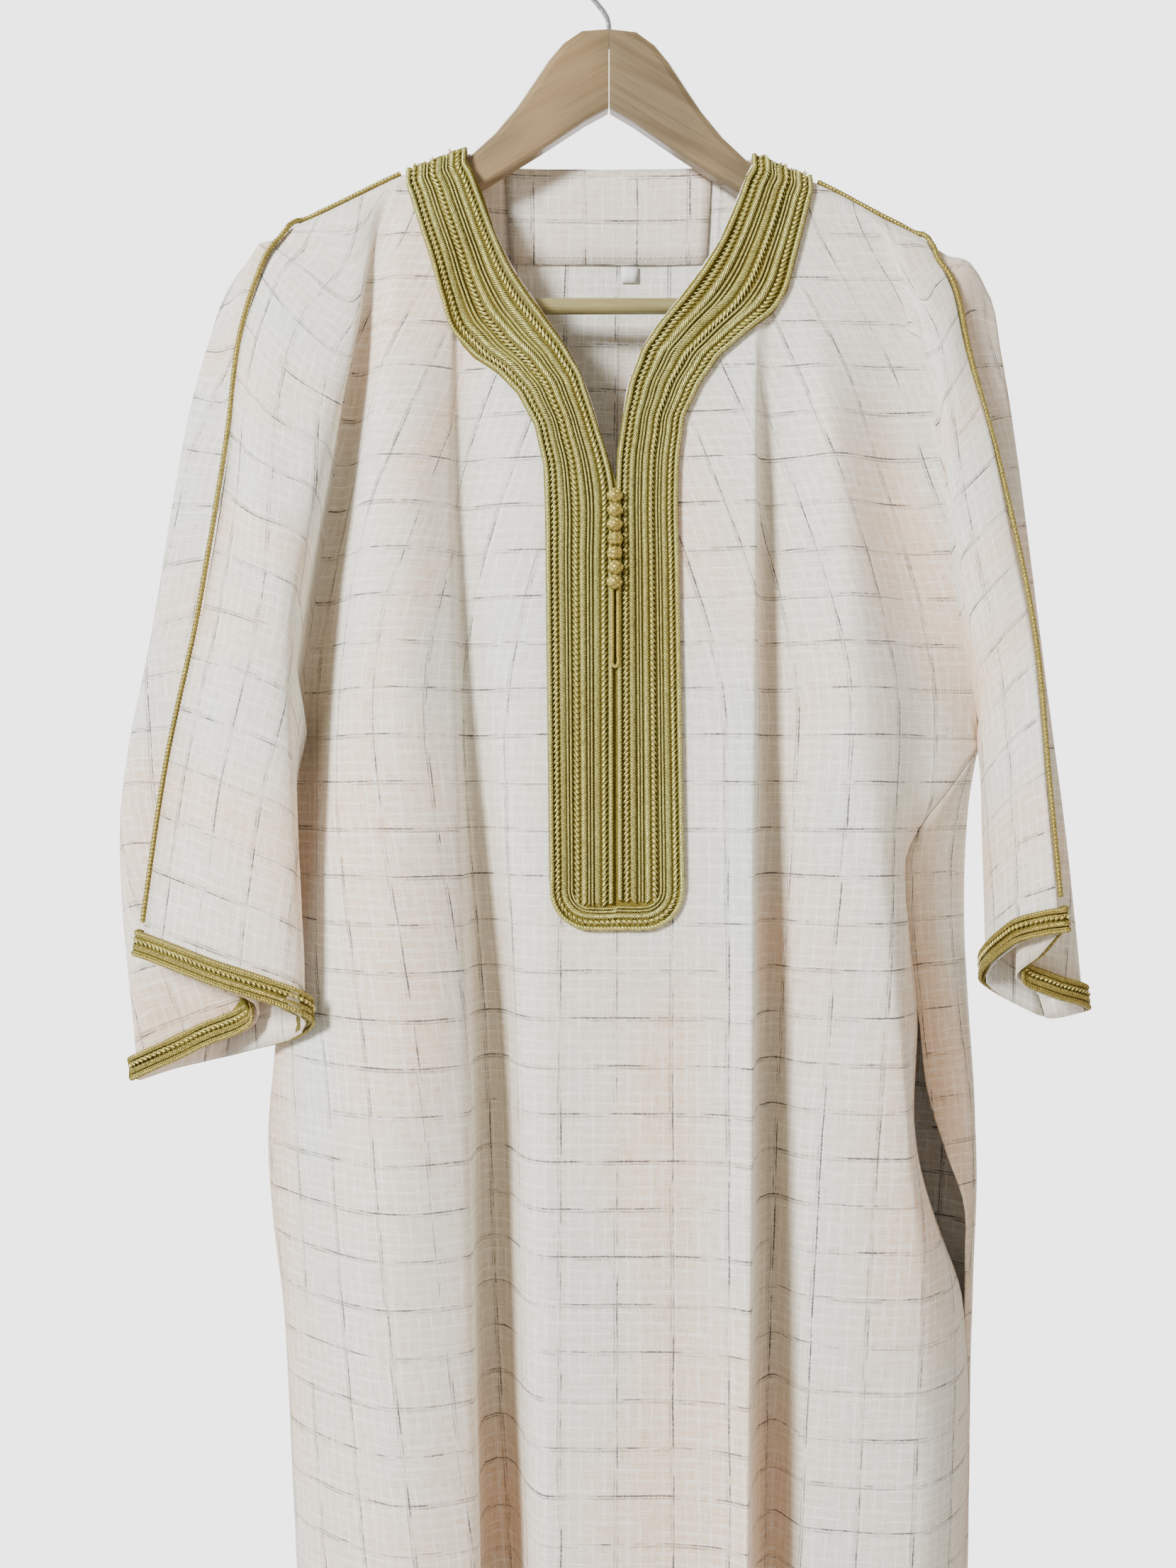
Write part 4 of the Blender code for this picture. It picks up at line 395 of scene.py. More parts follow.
def column(line, neck=False):
    """The fold's points from its top edge to the underarm."""
    heights = NECK_ROWS if neck else UPPER_ROWS
    if neck:
        top = neck_height(line.top)
        start = None
    else:
        start = ridge(line.top)
        top = start[2]
    points = []
    for share in heights:
        z = top + (UNDERARM_Z - top) * share
        p = fold_at(line, z)
        if z > line.path[0].z:
            blend = (z - line.path[0].z) / max(top - line.path[0].z, 1e-6)
            p[0] = line.path[0].x + (line.top - line.path[0].x) * blend
        if start is not None:
            drop = min((top - z) / TURN, 1)
            p[1] = start[1] + (p[1] - start[1]) * math.sqrt(drop * (2 - drop))
        points.append(p)
    return points


def lower(path_or_fold, rows=LOWER_ROWS):
    """The points of a fold or seam from the underarm to the hem."""
    path = path_or_fold.path if isinstance(path_or_fold, Fold) else path_or_fold
    knots = sorted(tuple(k) for k in path)
    points = []
    for share in rows:
        z = UNDERARM_Z + (HEM_Z - UNDERARM_Z) * share
        x, y = spline([k[0] for k in knots], [(k[1], k[2]) for k in knots], z)
        points.append(np.array([x, y, z]))
    return points


BACK_NECK_HALF = 80.0


def front_columns():
    """Fold lines of the front from the left underarm to the right one."""
    return [UNDERARM_LEFT, *reversed(FRONT_LEFT), FRONT_MIDDLE, *FRONT_RIGHT, UNDERARM_RIGHT]


def back_columns():
    """Fold lines of the back from the right underarm to the left one."""
    return [BACK_UNDERARM_RIGHT, *BACK, BACK_UNDERARM_LEFT]


def front_upper(line):
    """A front fold from its top edge to the underarm."""
    return column(line, neck=abs(line.top) < BACK_NECK_HALF)


def back_upper(line):
    """A back fold from the shoulder or the back neck to the underarm."""
    if abs(line.top) > BACK_NECK_HALF:
        return column(line)
    return [fold_at(line, BACK_NECK_RISE + (UNDERARM_Z - BACK_NECK_RISE) * s) for s in NECK_ROWS]


def sleeve_point(stations, at):
    """Point of a sleeve fold at a station number, over the arm before station 1."""
    points = []
    for x, y, z in stations:
        points.append(ridge(x) if y is None else np.array([x, y, z], float))
    first = LAST_STATION + 1 - len(points)
    if at >= 1 or first > 0:
        return spline(range(first, LAST_STATION + 1), points, at)
    turn = at * math.pi / 2
    top = ridge(points[0][0] + (points[1][0] - points[0][0]) * at)
    fall = points[1] - ridge(points[1][0])
    return top + (0, fall[1] * math.sin(turn), fall[2] * (1 - math.cos(turn)))


def sleeve_stations():
    """Station number of each upper row, then of each row below the underarm."""
    low = [UNDERARM_STATION + (LAST_STATION - UNDERARM_STATION) * s for s in SLEEVE_ROWS]
    return list(UPPER_STATIONS), low


def across(points, softs, before, after, sub=SUB):
    """Smooth row through control points: sub points to a stretch, creases where softness is low."""
    run = [before, *points, after]
    out = []
    for i in range(1, len(run) - 2):
        a, b = run[i], run[i + 1]
        span = np.linalg.norm(b - a)
        reach_a = max(np.linalg.norm(b - run[i - 1]), 1e-9)
        reach_b = max(np.linalg.norm(run[i + 2] - a), 1e-9)
        m = (b - run[i - 1]) / reach_a * span * softs[i - 1]
        n = (run[i + 2] - a) / reach_b * span * softs[i]
        for k in range(sub):
            t = k / sub
            out.append((2 * t**3 - 3 * t**2 + 1) * a + (t**3 - 2 * t**2 + t) * m
                       + (-2 * t**3 + 3 * t**2) * b + (t**3 - t**2) * n)
    out.append(np.array(points[-1], float))
    return out


PULL_MOST = 0.4     # the most of a step that an edge is pulled back by


def pull_back(row, start, end):
    """Keep the ends of a row back from their seams, by the distances given."""
    for end_at, beside, pull in ((0, 1, start), (-1, -2, end)):
        step = row[beside] - row[end_at]
        long = np.linalg.norm(step)
        row[end_at] = row[end_at] + step / long * min(pull, long * PULL_MOST)
    return row


def garment():
    """Rows of points of both panels: body above and below the underarm, and the sleeves."""
    fronts, backs = front_columns(), back_columns()
    front_up = list(zip(*[front_upper(f) for f in fronts]))
    back_up = list(zip(*[back_upper(b) for b in backs]))
    upper, low = sleeve_stations()
    sleeves = {}
    for side, table in (("left", SLEEVE_LEFT), ("right", SLEEVE_RIGHT)):
        rows = {}
        for name, (_, *stations) in table.items():
            if name != "under":
                rows[name] = [sleeve_point(stations, s) for s in upper + low]
        under = [sleeve_point(table["under"][1:], s) for s in low]
        index = 0 if side == "left" else -1
        rows["front_under"] = [r[index] for r in front_up] + under
        rows["back_under"] = [r[-1 - index if index == 0 else 0] for r in back_up] + under
        sleeves[side] = rows
    side_left, side_right = lower(SIDE_LEFT), lower(SIDE_RIGHT)
    front_low = list(zip(side_left, *[lower(f) for f in fronts[1:-1]], side_right))
    back_left = [p + (0, slit_gape(p[2]), 0) for p in side_left]
    back_right = [slit_back(p) for p in side_right]
    back_low = list(zip(back_right, *[lower(b) for b in backs[1:-1]], back_left))
    return front_up, front_low, back_up, back_low, sleeves


def slit_gape(z):
    """How far the back edge stands behind the front one in the left slit."""
    share = (SLIT[0] - z) / (SLIT[0] - SLIT[1])
    return SLIT_LEFT_GAPE * math.sin(math.pi * share) if 0 < share < 1 else 0.0


def slit_back(p):
    """The back panel's side edge on the right: it stands open along the slit."""
    if not SLIT[1] < p[2] < SLIT[0]:
        return p
    keys = sorted(SLIT_BACK_RIGHT)
    x, y = spline([k[0] for k in keys], [(k[1], k[2]) for k in keys], p[2])
    return np.array([x, y, p[2]])


# %% [markdown]
# The cloth lies over the hanger's boards. The boards' own meshes say where they are, so each
# point of the skin that comes too near is moved straight out of them.

# %% Keep the cloth off the hanger
def node_tree_of(*names):
    """A search tree over some solids of the frame, in metres."""
    points, faces = [], []
    for name in names:
        mesh = frame["nodes"][name].data
        start = len(points)
        points += [v.co.copy() for v in mesh.vertices]
        faces += [tuple(start + i for i in p.vertices) for p in mesh.polygons]
    return BVHTree.FromPolygons(points, faces)


board_tree = node_tree_of("hanger_arm_left", "hanger_arm_right")


BOARD_FOOT, BOARD_FROM, BOARD_TO = -250, 60, 235    # no board is near cloth outside these bounds
TOO_NEAR = 0.0003       # closer than this, in metres, a direction off a surface can't be told


def off_board(p, clear):
    """The point in millimetres, moved out until it is `clear` from the hanger's boards."""
    if p[2] < BOARD_FOOT or not BOARD_FROM < abs(p[0]) < BOARD_TO:
        return p
    near, normal, _, away = board_tree.find_nearest(Vector(p) * MM)
    if near is None:
        return p
    way = Vector(p) * MM - near
    outside = way.dot(normal) > 0
    gap = away / MM if outside else -away / MM
    if gap >= clear:
        return p
    turn = way.normalized() if outside and away > TOO_NEAR else normal
    return np.array((near + turn * clear * MM) / MM)


def clear_of_arms(grids):
    """The same rows, with every point clear of the hanger."""
    clear = WALL / 2 + ARM_CLEAR
    return [[[off_board(p, clear) for p in row] for row in grid] for grid in grids]


FRONT_SLEEVE = ("crease", "middle", "inner", "front_under")
BACK_SLEEVE = ("back_under", "far", "outer", "near", "turn", "back_fold", "crease")
PINCH = 0.3             # half the space between the two walls where a seam is pinched together
RIDGE_PULL = 0.5        # how far each panel's top edge stands back from the shoulder line
CORNER_PULL = 1.4       # the same at the corner where the shoulder seam turns down the sleeve
TIP_STATION = 2         # above it the top seam lies over the hanger's tip and is kept wider
PINCH_STATION = 0.5     # where the two walls of the sleeve's top seam lie side by side
APEX_FRONT = 0.8        # how far each panel stands off the point of the underarm
APEX_BACK = 1.6
APEX_PULL = 1.3         # and how far body and sleeve part there


def crease_shift(station):
    """How far each panel's edge stands to its own side of the sleeve's top seam."""
    return RIDGE_PULL + (WALL / 2 + PINCH - RIDGE_PULL) * min(station / PINCH_STATION, 1)


def panels():
    """Smooth rows of both panels, as lists of grids that share their edge points."""
    front_up, front_low, back_up, back_low, sleeves = garment()
    upper, low = sleeve_stations()
    soft_front = [f.soft for f in front_columns()]
    soft_back = [b.soft for b in back_columns()]
    apex = len(UPPER_ROWS) - 1
    front_up = [list(r) for r in front_up]
    back_up = [list(r) for r in back_up]
    for end in (0, -1):
        front_up[apex][end] = front_up[apex][end] + (0, -APEX_FRONT, 0)
        back_up[apex][end] = back_up[apex][end] + (0, APEX_BACK, 0)
    for side, end in (("left", 0), ("right", -1)):
        sleeves[side]["front_under"][apex] = front_up[apex][end]
        sleeves[side]["back_under"][apex] = back_up[apex][-1 if end == 0 else 0]
    left, right = sleeves["left"], sleeves["right"]

    front = [across(r, soft_front, left["inner"][i], right["inner"][i])
             for i, r in enumerate(front_up)]
    back = [across(r, soft_back, right["far"][i], left["far"][i]) for i, r in enumerate(back_up)]
    front[0] = [p + (0, -RIDGE_PULL, 0) for p in front[0]]
    back[0] = [p + (0, RIDGE_PULL, 0) for p in back[0]]
    front[apex] = pull_back(front[apex], APEX_PULL, APEX_PULL)
    back[apex] = pull_back(back[apex], APEX_PULL, APEX_PULL)
    front_below, back_below = [front[apex]], [back[apex]]
    for f, b in zip(front_low, back_low):
        front_below.append(pull_back(across(f, soft_front, b[-2], b[1]), SEAM_PULL, SEAM_PULL))
        back_below.append(pull_back(across(b, soft_back, f[-2], f[1]), SEAM_PULL, SEAM_PULL))

    front_grids, back_grids = [front, front_below], [back, back_below]
    for side, table, rows in (("left", SLEEVE_LEFT, left), ("right", SLEEVE_RIGHT, right)):
        fronts, backs = [], []
        for i, station in enumerate(upper + low):
            above = i <= apex
            shift = crease_shift(station)
            ends = (0, -1) if side == "left" else (-1, 0)
            f_next = front_up[i][1 if side == "left" else -2] if above else rows["far"][i]
            b_next = back_up[i][-2 if side == "left" else 1] if above else rows["inner"][i]
            f = [rows[n][i] for n in FRONT_SLEEVE]
            b = [rows[n][i] for n in BACK_SLEEVE]
            f_soft = [table[n][0] if n in table else 1 for n in FRONT_SLEEVE]
            b_soft = [table[n][0] if n in table else 1 for n in BACK_SLEEVE]
            if i > 0:
                f[0] = f[0] + (0, -shift, 0)
                b[-1] = b[-1] + (0, shift, 0)
            f_row = across(f, f_soft, f[0], f_next, SLEEVE_SUB)
            b_row = across(b, b_soft, b_next, b[-1], SLEEVE_SUB)
            if i == 0:
                f_row = pull_back([p + (0, -shift, 0) for p in f_row], CORNER_PULL, 0)
                corner = b_row[-1]
                b_row = [p + (0, shift + (CORNER_PULL / 2 if np.allclose(p, corner) else 0), 0)
                         for p in b_row]
                f_row[-1] = front[0][ends[0]]
                b_row[0] = back[0][ends[1]]
            else:
                top_pull = SEAM_PULL * (2 if station < TIP_STATION else 1)
                under_pull = 0 if i < apex else APEX_PULL if i == apex else SEAM_PULL
                f_row = pull_back(f_row, top_pull, under_pull)
                b_row = pull_back(b_row, under_pull, top_pull)
            fronts.append(f_row if side == "left" else f_row[::-1])
            backs.append(b_row if side == "left" else b_row[::-1])
        front_grids.append(fronts)
        back_grids.append(backs)
    return clear_of_arms(front_grids), clear_of_arms(back_grids)


front_grids, back_grids = panels()
print("front grid", len(front_grids[0][0]), "columns")

# %% [markdown]
# Between the long folds real slub cloth is never quite smooth: it has soft dents, drag lines
# from the shoulder and underarm, and faint ripples along the threads. These are added as
# shallow troughs and ridges along short lines, each with its own width and depth, and a
# very low random swell.

# %% Soft creases
Crease = namedtuple("Crease", "x0 z0 x1 z1 width depth")
# On the front: from one end to the other, how wide and how deep (minus is a trough)
FRONT_CREASES = (
    Crease(-150, -330, -118, -560, 9, -1.6), Crease(-182, -420, -150, -640, 8, 1.3),
    Crease(-130, -600, -150, -760, 10, -1.2), Crease(-96, -520, -104, -720, 7, 1.1),
    Crease(-146, -820, -132, -1010, 12, -1.5), Crease(-104, -900, -96, -1130, 9, 1.3),
    Crease(-166, -1010, -150, -1260, 10, -1.4), Crease(-30, -700, -22, -930, 12, -1.0),
    Crease(18, -640, 26, -860, 10, 1.0), Crease(36, -900, 22, -1160, 12, -1.3),
    Crease(-12, -1060, -20, -1340, 14, 1.4), Crease(72, -560, 66, -760, 7, -1.0),
    Crease(128, -330, 118, -520, 8, -1.3), Crease(168, -380, 150, -590, 9, 1.4),
    Crease(196, -440, 178, -540, 7, -1.2), Crease(140, -640, 150, -860, 10, 1.2),
    Crease(130, -900, 140, -1160, 12, -1.5), Crease(182, -860, 178, -1100, 9, 1.2),
    Crease(120, -1180, 134, -1420, 11, 1.3), Crease(-120, -1180, -112, -1440, 12, 1.4),
    Crease(30, -1220, 36, -1460, 12, -1.2), Crease(-52, -1150, -60, -1420, 9, -1.2),
    Crease(92, -1000, 98, -1300, 8, 1.0), Crease(-70, -620, -74, -820, 7, -0.9),
)
# On the back, which the picture doesn't show: similar ones, placed elsewhere
BACK_CREASES = (
    Crease(150, -300, 120, -520, 9, 1.5), Crease(120, -420, 140, -640, 8, -1.2),
    Crease(60, -260, 70, -460, 11, -1.1), Crease(-30, -240, -14, -430, 12, 1.2),
    Crease(-90, -280, -110, -500, 9, -1.3), Crease(-150, -330, -128, -560, 8, 1.4),
    Crease(100, -700, 112, -960, 10, 1.3), Crease(30, -640, 22, -900, 11, -1.2),
    Crease(-50, -700, -64, -960, 10, 1.2), Crease(-140, -760, -150, -1000, 9, -1.4),
    Crease(160, -900, 150, -1180, 10, -1.3), Crease(60, -1060, 70, -1330, 12, 1.4),
    Crease(-20, -1100, -34, -1400, 12, -1.3), Crease(-110, -1080, -100, -1360, 9, 1.2),
    Crease(-160, -1180, -168, -1440, 9, -1.1), Crease(130, -1260, 120, -1460, 10, 1.1),
)
# On the front of the sleeves: a ridge runs from the shoulder cord down the left one
SLEEVE_CREASES = (
    Crease(-212, -240, -190, -420, 13, 4.2), Crease(-226, -300, -236, -440, 10, -1.6),
    Crease(206, -250, 232, -400, 10, 2.4), Crease(226, -330, 250, -450, 9, -1.5),
)
neck_tree = node_tree_of("neck_braid")
trim_tree = node_tree_of("neck_braid", "cuff_braid_left", "cuff_braid_right")
BRAID_NEAR, CREASE_FADE = 3.0, 14.0     # creases grow over this distance from the braid
YOKE_TOP, YOKE_FOOT = -175.0, -290.0    # and between these heights below the shoulders
SLEEVE_X, SLEEVE_FOOT = 205.0, -700.0   # cloth further out and above this foot is a sleeve's
SLEEVE_SWELL = 0.5                      # share of the swell there
RIDGE_X = 180.0                         # sleeve creases reach in to here
WANDER = 3.0                            # how far a crease strays from its straight line


def crease_height(creases, x, z):
    """How far all creases together move the cloth at a place, in millimetres."""
    total = 0.0
    for c in creases:
        run = np.array([c.x1 - c.x0, c.z1 - c.z0])
        long = math.hypot(*run)
        to = np.array([x - c.x0, z - c.z0])
        along = (to @ run) / long / long
        if not -0.1 < along < 1.1:
            continue
        off = (to[0] * run[1] - to[1] * run[0]) / long + WANDER * math.sin(along * 7 + c.x0)
        ends = max(0.0, math.sin(math.pi * min(max((along + 0.1) / 1.2, 0), 1)))
        total += c.depth * ends * math.exp(-(off / c.width) ** 2)
    return total


def soft_swell(x, y, z):
    """A low random swell of the cloth, in millimetres."""
    wide = swell_noise.noise(Vector((x / 70, y / 70, z / 110)))
    small = swell_noise.noise(Vector((x / 22 + 9, y / 22, z / 34)))
    return 0.9 * wide + 0.35 * small


def crease_mesh(obj, creases):
    """Moves an object's points along their normals by its creases and swell."""
    mesh = obj.data
    normals = [v.normal.copy() for v in mesh.vertices]
    for vertex, normal in zip(mesh.vertices, normals):
        x, y, z = (c / MM for c in vertex.co)
        away = trim_tree.find_nearest(vertex.co)[3] / MM
        fade = min(max((away - BRAID_NEAR) / CREASE_FADE, 0), 1)
        if z > YOKE_FOOT:
            fade *= min(max((YOKE_TOP - z) / (YOKE_TOP - YOKE_FOOT), 0), 1)
        on_sleeve = abs(x) > SLEEVE_X and z > SLEEVE_FOOT
        move = soft_swell(x, y, z) * (SLEEVE_SWELL if on_sleeve else 1)
        if not on_sleeve:
            move += crease_height(creases, x, z)
        if abs(x) > RIDGE_X and creases is FRONT_CREASES:
            move += crease_height(SLEEVE_CREASES, x, z) * max(0, -normal.y)
        vertex.co += normal * (move * fade * MM)


# %% [markdown]
# The skin keeps two coordinates for the weave, measured along the cloth itself in metres, so
# its checks keep their size where the cloth turns. On the body they run across and down from
# the middle. The sleeves are cut in one with the body, so their threads run across and along.

# %% Skins of the robe
def row_lengths(row, start):
    """Distance along a row from its point number `start`, in metres."""
    steps = np.linalg.norm(np.diff(np.array(row), axis=0), axis=1)
    run = np.concatenate([[0], np.cumsum(steps)]) * MM
    return run - run[start]


def middle_column(row):
    """Number of the row's point nearest to the robe's middle."""
    return int(np.argmin([abs(p[0] - PLACKET_MIDDLE) for p in row]))


def add_mesh(name, bm, finish=None):
    """A smooth mesh object made from a bmesh."""
    mesh = bpy.data.meshes.new(name)
    bm.to_mesh(mesh)
    bm.free()
    mesh.shade_smooth()
    if finish:
        mesh.materials.append(finish)
    made = bpy.data.objects.new(name, mesh)
    scene.collection.objects.link(made)
    return made


def skin(name, body_grids, sleeve_grids, facing):
    """A sheet through its grids, with its weave coordinates, in metres. facing is its outside in Y."""
    bm = bmesh.new()
    weave = bm.loops.layers.uv.new("weave")
    seen = {}

    def vertex(p):
        key = tuple(round(c, 3) for c in p)
        if key not in seen:
            seen[key] = bm.verts.new([c * MM for c in p])
        return seen[key]

    for part, grids in (("body", body_grids), ("sleeve", sleeve_grids)):
        for number, grid in enumerate(grids):
            coords = []
            down = 0.0
            if part == "body":
                start = middle_column(grid[-1])
            else:
                start = 0 if number == 0 else len(grid[0]) - 1
            for r, row in enumerate(grid):
                across_row = row_lengths(row, start)
                if part == "body":
                    coords.append([(a, p[2] * MM) for a, p in zip(across_row, row)])
                else:
                    if r > 0:
                        down += float(np.mean([np.linalg.norm(p - q) for p, q in zip(row, grid[r - 1])])) * MM
                    coords.append([(down + 0.011, a + 0.013 * (number + 1)) for a in across_row])
            for r in range(len(grid) - 1):
                for i in range(len(grid[r]) - 1):
                    cells = ((r, i), (r + 1, i), (r + 1, i + 1), (r, i + 1))
                    corner = [vertex(grid[a][b]) for a, b in cells]
                    spots = [coords[a][b] for a, b in cells]
                    keep = [n for n, v in enumerate(corner) if v not in corner[:n]]
                    if len(keep) < 3:
                        continue
                    try:
                        face = bm.faces.new([corner[n] for n in keep])
                    except ValueError:
                        continue
                    for loop, n in zip(face.loops, keep):
                        loop[weave].uv = spots[n]
    bmesh.ops.recalc_face_normals(bm, faces=bm.faces)
    outward = sum(f.normal.y * f.calc_area() for f in bm.faces)
    if outward * facing < 0:
        bmesh.ops.reverse_faces(bm, faces=bm.faces)
    area = sum(f.calc_area() for f in bm.faces)
    made = add_mesh(name, bm)
    print(name, len(made.data.polygons), "faces", round(area, 3), "square metres")
    return made, area


robe_front, front_area = skin("robe_front", front_grids[:2], front_grids[2:], -1)
robe_back, back_area = skin("robe_back", back_grids[:2], back_grids[2:], 1)
crease_mesh(robe_front, FRONT_CREASES)
crease_mesh(robe_back, BACK_CREASES)

# %% Painted shade in the hollows between the folds
HOLLOW_REACH = 0.045    # how far round a point its neighbours count, in metres
HOLLOW_FULL = 0.016     # a point this much deeper than they are lies in a full hollow


def mark_painted_hollow_shade(obj, facing):
    """Stores how deep each point lies between the folds round it, 0 to 1, as the attribute hollow, which sets
    where the cloth gets painted shade.
    """
    mesh = obj.data
    finder = KDTree(len(mesh.vertices))
    for vertex in mesh.vertices:
        finder.insert((vertex.co.x, 0, vertex.co.z * 2), vertex.index)
    finder.balance()
    layer = mesh.attributes.new("hollow", "FLOAT", "POINT")
    for vertex in mesh.vertices:
        near = finder.find_range((vertex.co.x, 0, vertex.co.z * 2), HOLLOW_REACH)
        mean = sum(mesh.vertices[i].co.y for _, i, _ in near) / len(near)
        layer.data[vertex.index].value = min(max(facing * (mean - vertex.co.y) / HOLLOW_FULL, 0), 1)


mark_painted_hollow_shade(robe_front, -1)
mark_painted_hollow_shade(robe_back, 1)
CLOTH_THICK = 0.0009
for piece in (robe_front, robe_back):
    thick = piece.modifiers.new("thickness", "SOLIDIFY")
    thick.thickness = CLOTH_THICK
    thick.offset = 0
    thick.use_even_offset = False


# %% [markdown]
# The cloth is a cream linen and cotton weave, with thick and thin slub threads. Thin slate
# threads, often two together and broken where they dive under, draw a large windowpane, and fine
# white threads draw a smaller one. The pattern is made from the skin's own weave coordinates,
# in metres, in one group that every cloth piece uses with its own values.

# %% A few helpers for shader nodes
def linear(r, g, b):
    """A colour read from a screen as 0 to 255, in the linear form that Blender uses."""
    def one(c):
        c /= 255
        return c / 12.92 if c <= 0.04045 else ((c + 0.055) / 1.055) ** 2.4
    return (one(r), one(g), one(b), 1.0)


class Net:
    """Short calls that add nodes to a shader tree and return their output sockets."""

    def __init__(self, tree):
        self.tree = tree

    def put(self, socket, value):
        if isinstance(value, bpy.types.NodeSocket):
            self.tree.links.new(value, socket)
        elif value is not None:
            socket.default_value = value

    def math(self, what, a, b=None, c=None):
        node = self.tree.nodes.new("ShaderNodeMath")
        node.operation = what
        for socket, value in zip(node.inputs, (a, b, c)):
            self.put(socket, value)
        return node.outputs[0]

    def times(self, a, b):
        return self.math("MULTIPLY", a, b)

    def plus(self, a, b):
        return self.math("ADD", a, b)

    def bump(self, shader, height, strength, distance):
        node = self.tree.nodes.new("ShaderNodeBump")
        node.inputs["Strength"].default_value = strength
        node.inputs["Distance"].default_value = distance
        self.put(node.inputs["Height"], height)
        self.put(shader.inputs["Normal"], node.outputs[0])

    def ramp(self, value, low, high, start=0.0, end=1.0, smooth=True):
        node = self.tree.nodes.new("ShaderNodeMapRange")
        node.interpolation_type = "SMOOTHSTEP" if smooth else "LINEAR"
        bounds = {"Value": value, "From Min": low, "From Max": high, "To Min": start, "To Max": end}
        for name, v in bounds.items():
            self.put(node.inputs[name], v)
        return node.outputs[0]

    def join(self, x, y, z=0.0):
        node = self.tree.nodes.new("ShaderNodeCombineXYZ")
        for socket, value in zip(node.inputs, (x, y, z)):
            self.put(socket, value)
        return node.outputs[0]

    def split(self, vector):
        node = self.tree.nodes.new("ShaderNodeSeparateXYZ")
        self.put(node.inputs[0], vector)
        return node.outputs

    def noise(self, vector, scale=1.0, detail=2.0, rough=0.5):
        node = self.tree.nodes.new("ShaderNodeTexNoise")
        self.put(node.inputs["Vector"], vector)
        self.put(node.inputs["Scale"], scale)
        node.inputs["Detail"].default_value = detail
        node.inputs["Roughness"].default_value = rough
        return node.outputs["Fac"]

    def mix(self, share, a, b, how="MIX"):
        node = self.tree.nodes.new("ShaderNodeMix")
        node.data_type = "RGBA"
        node.blend_type = how
        self.put(node.inputs[0], share)
        self.put(node.inputs[6], a)
        self.put(node.inputs[7], b)
        return node.outputs[2]


def node_group(name, inputs, outputs):
    """An empty shader group with named sockets, and the net, inputs and outputs inside it."""
    tree = bpy.data.node_groups.new(name, "ShaderNodeTree")
    for label, kind, value in inputs:
        socket = tree.interface.new_socket(name=label, in_out="INPUT", socket_type="NodeSocket" + kind)
        if value is not None:
            socket.default_value = value
    for label, kind in outputs:
        tree.interface.new_socket(name=label, in_out="OUTPUT", socket_type="NodeSocket" + kind)
    return tree, Net(tree), tree.nodes.new("NodeGroupInput").outputs, tree.nodes.new("NodeGroupOutput").inputs


# %% The slub weave with its windowpane
PANE_WANDER = 0.0022    # how far the slate threads stray from a straight line, in metres
WHITE_WANDER = 0.075    # the same for white threads, as a share of their pitch
Threads = namedtuple("Threads", "width apart low high")
SLATE = Threads(0.00056, 0.0016, 0.38, 0.62)    # low and high: noise at which a thread dives and shows
WHITE = Threads(0.00036, 0.0011, 0.40, 0.60)
WHITE_ACROSS, WHITE_DOWN = 0.0067, 0.0059       # distance between pairs of white threads


def thread_mask(net, along, across, pitch, wander, kind, seed):
    """Mask of thin broken threads that run along one way, in pairs."""
    stray = net.noise(net.join(net.times(along, 21.0), net.times(across, 9.0), seed))
    at = net.plus(across, net.times(net.math("SUBTRACT", stray, 0.5), wander))
    cell = net.math("DIVIDE", at, pitch)
    off = net.times(net.math("SUBTRACT", net.math("FRACT", net.plus(cell, 100.5)), 0.5), pitch)
    masks = []
    for side, own, share in ((-0.5, seed + 3.1, 1.0), (0.5, seed + 7.7, 0.6)):
        away = net.math("ABSOLUTE", net.plus(off, side * kind.apart))
        fuzz = net.noise(net.join(net.times(along, 900.0), net.times(across, 300.0), own))
        thick = net.times(net.ramp(fuzz, 0.25, 0.75, 0.45, 1.5), kind.width)
        line = net.ramp(net.math("DIVIDE", away, thick), 0.5, 1.15, share, 0.0)
        place = net.join(net.times(along, 34.0), net.times(net.math("FLOOR", cell), 5.3), own)
        masks.append(net.times(line, net.ramp(net.noise(place, detail=4.0, rough=0.7), kind.low, kind.high)))
    return net.math("MAXIMUM", *masks)


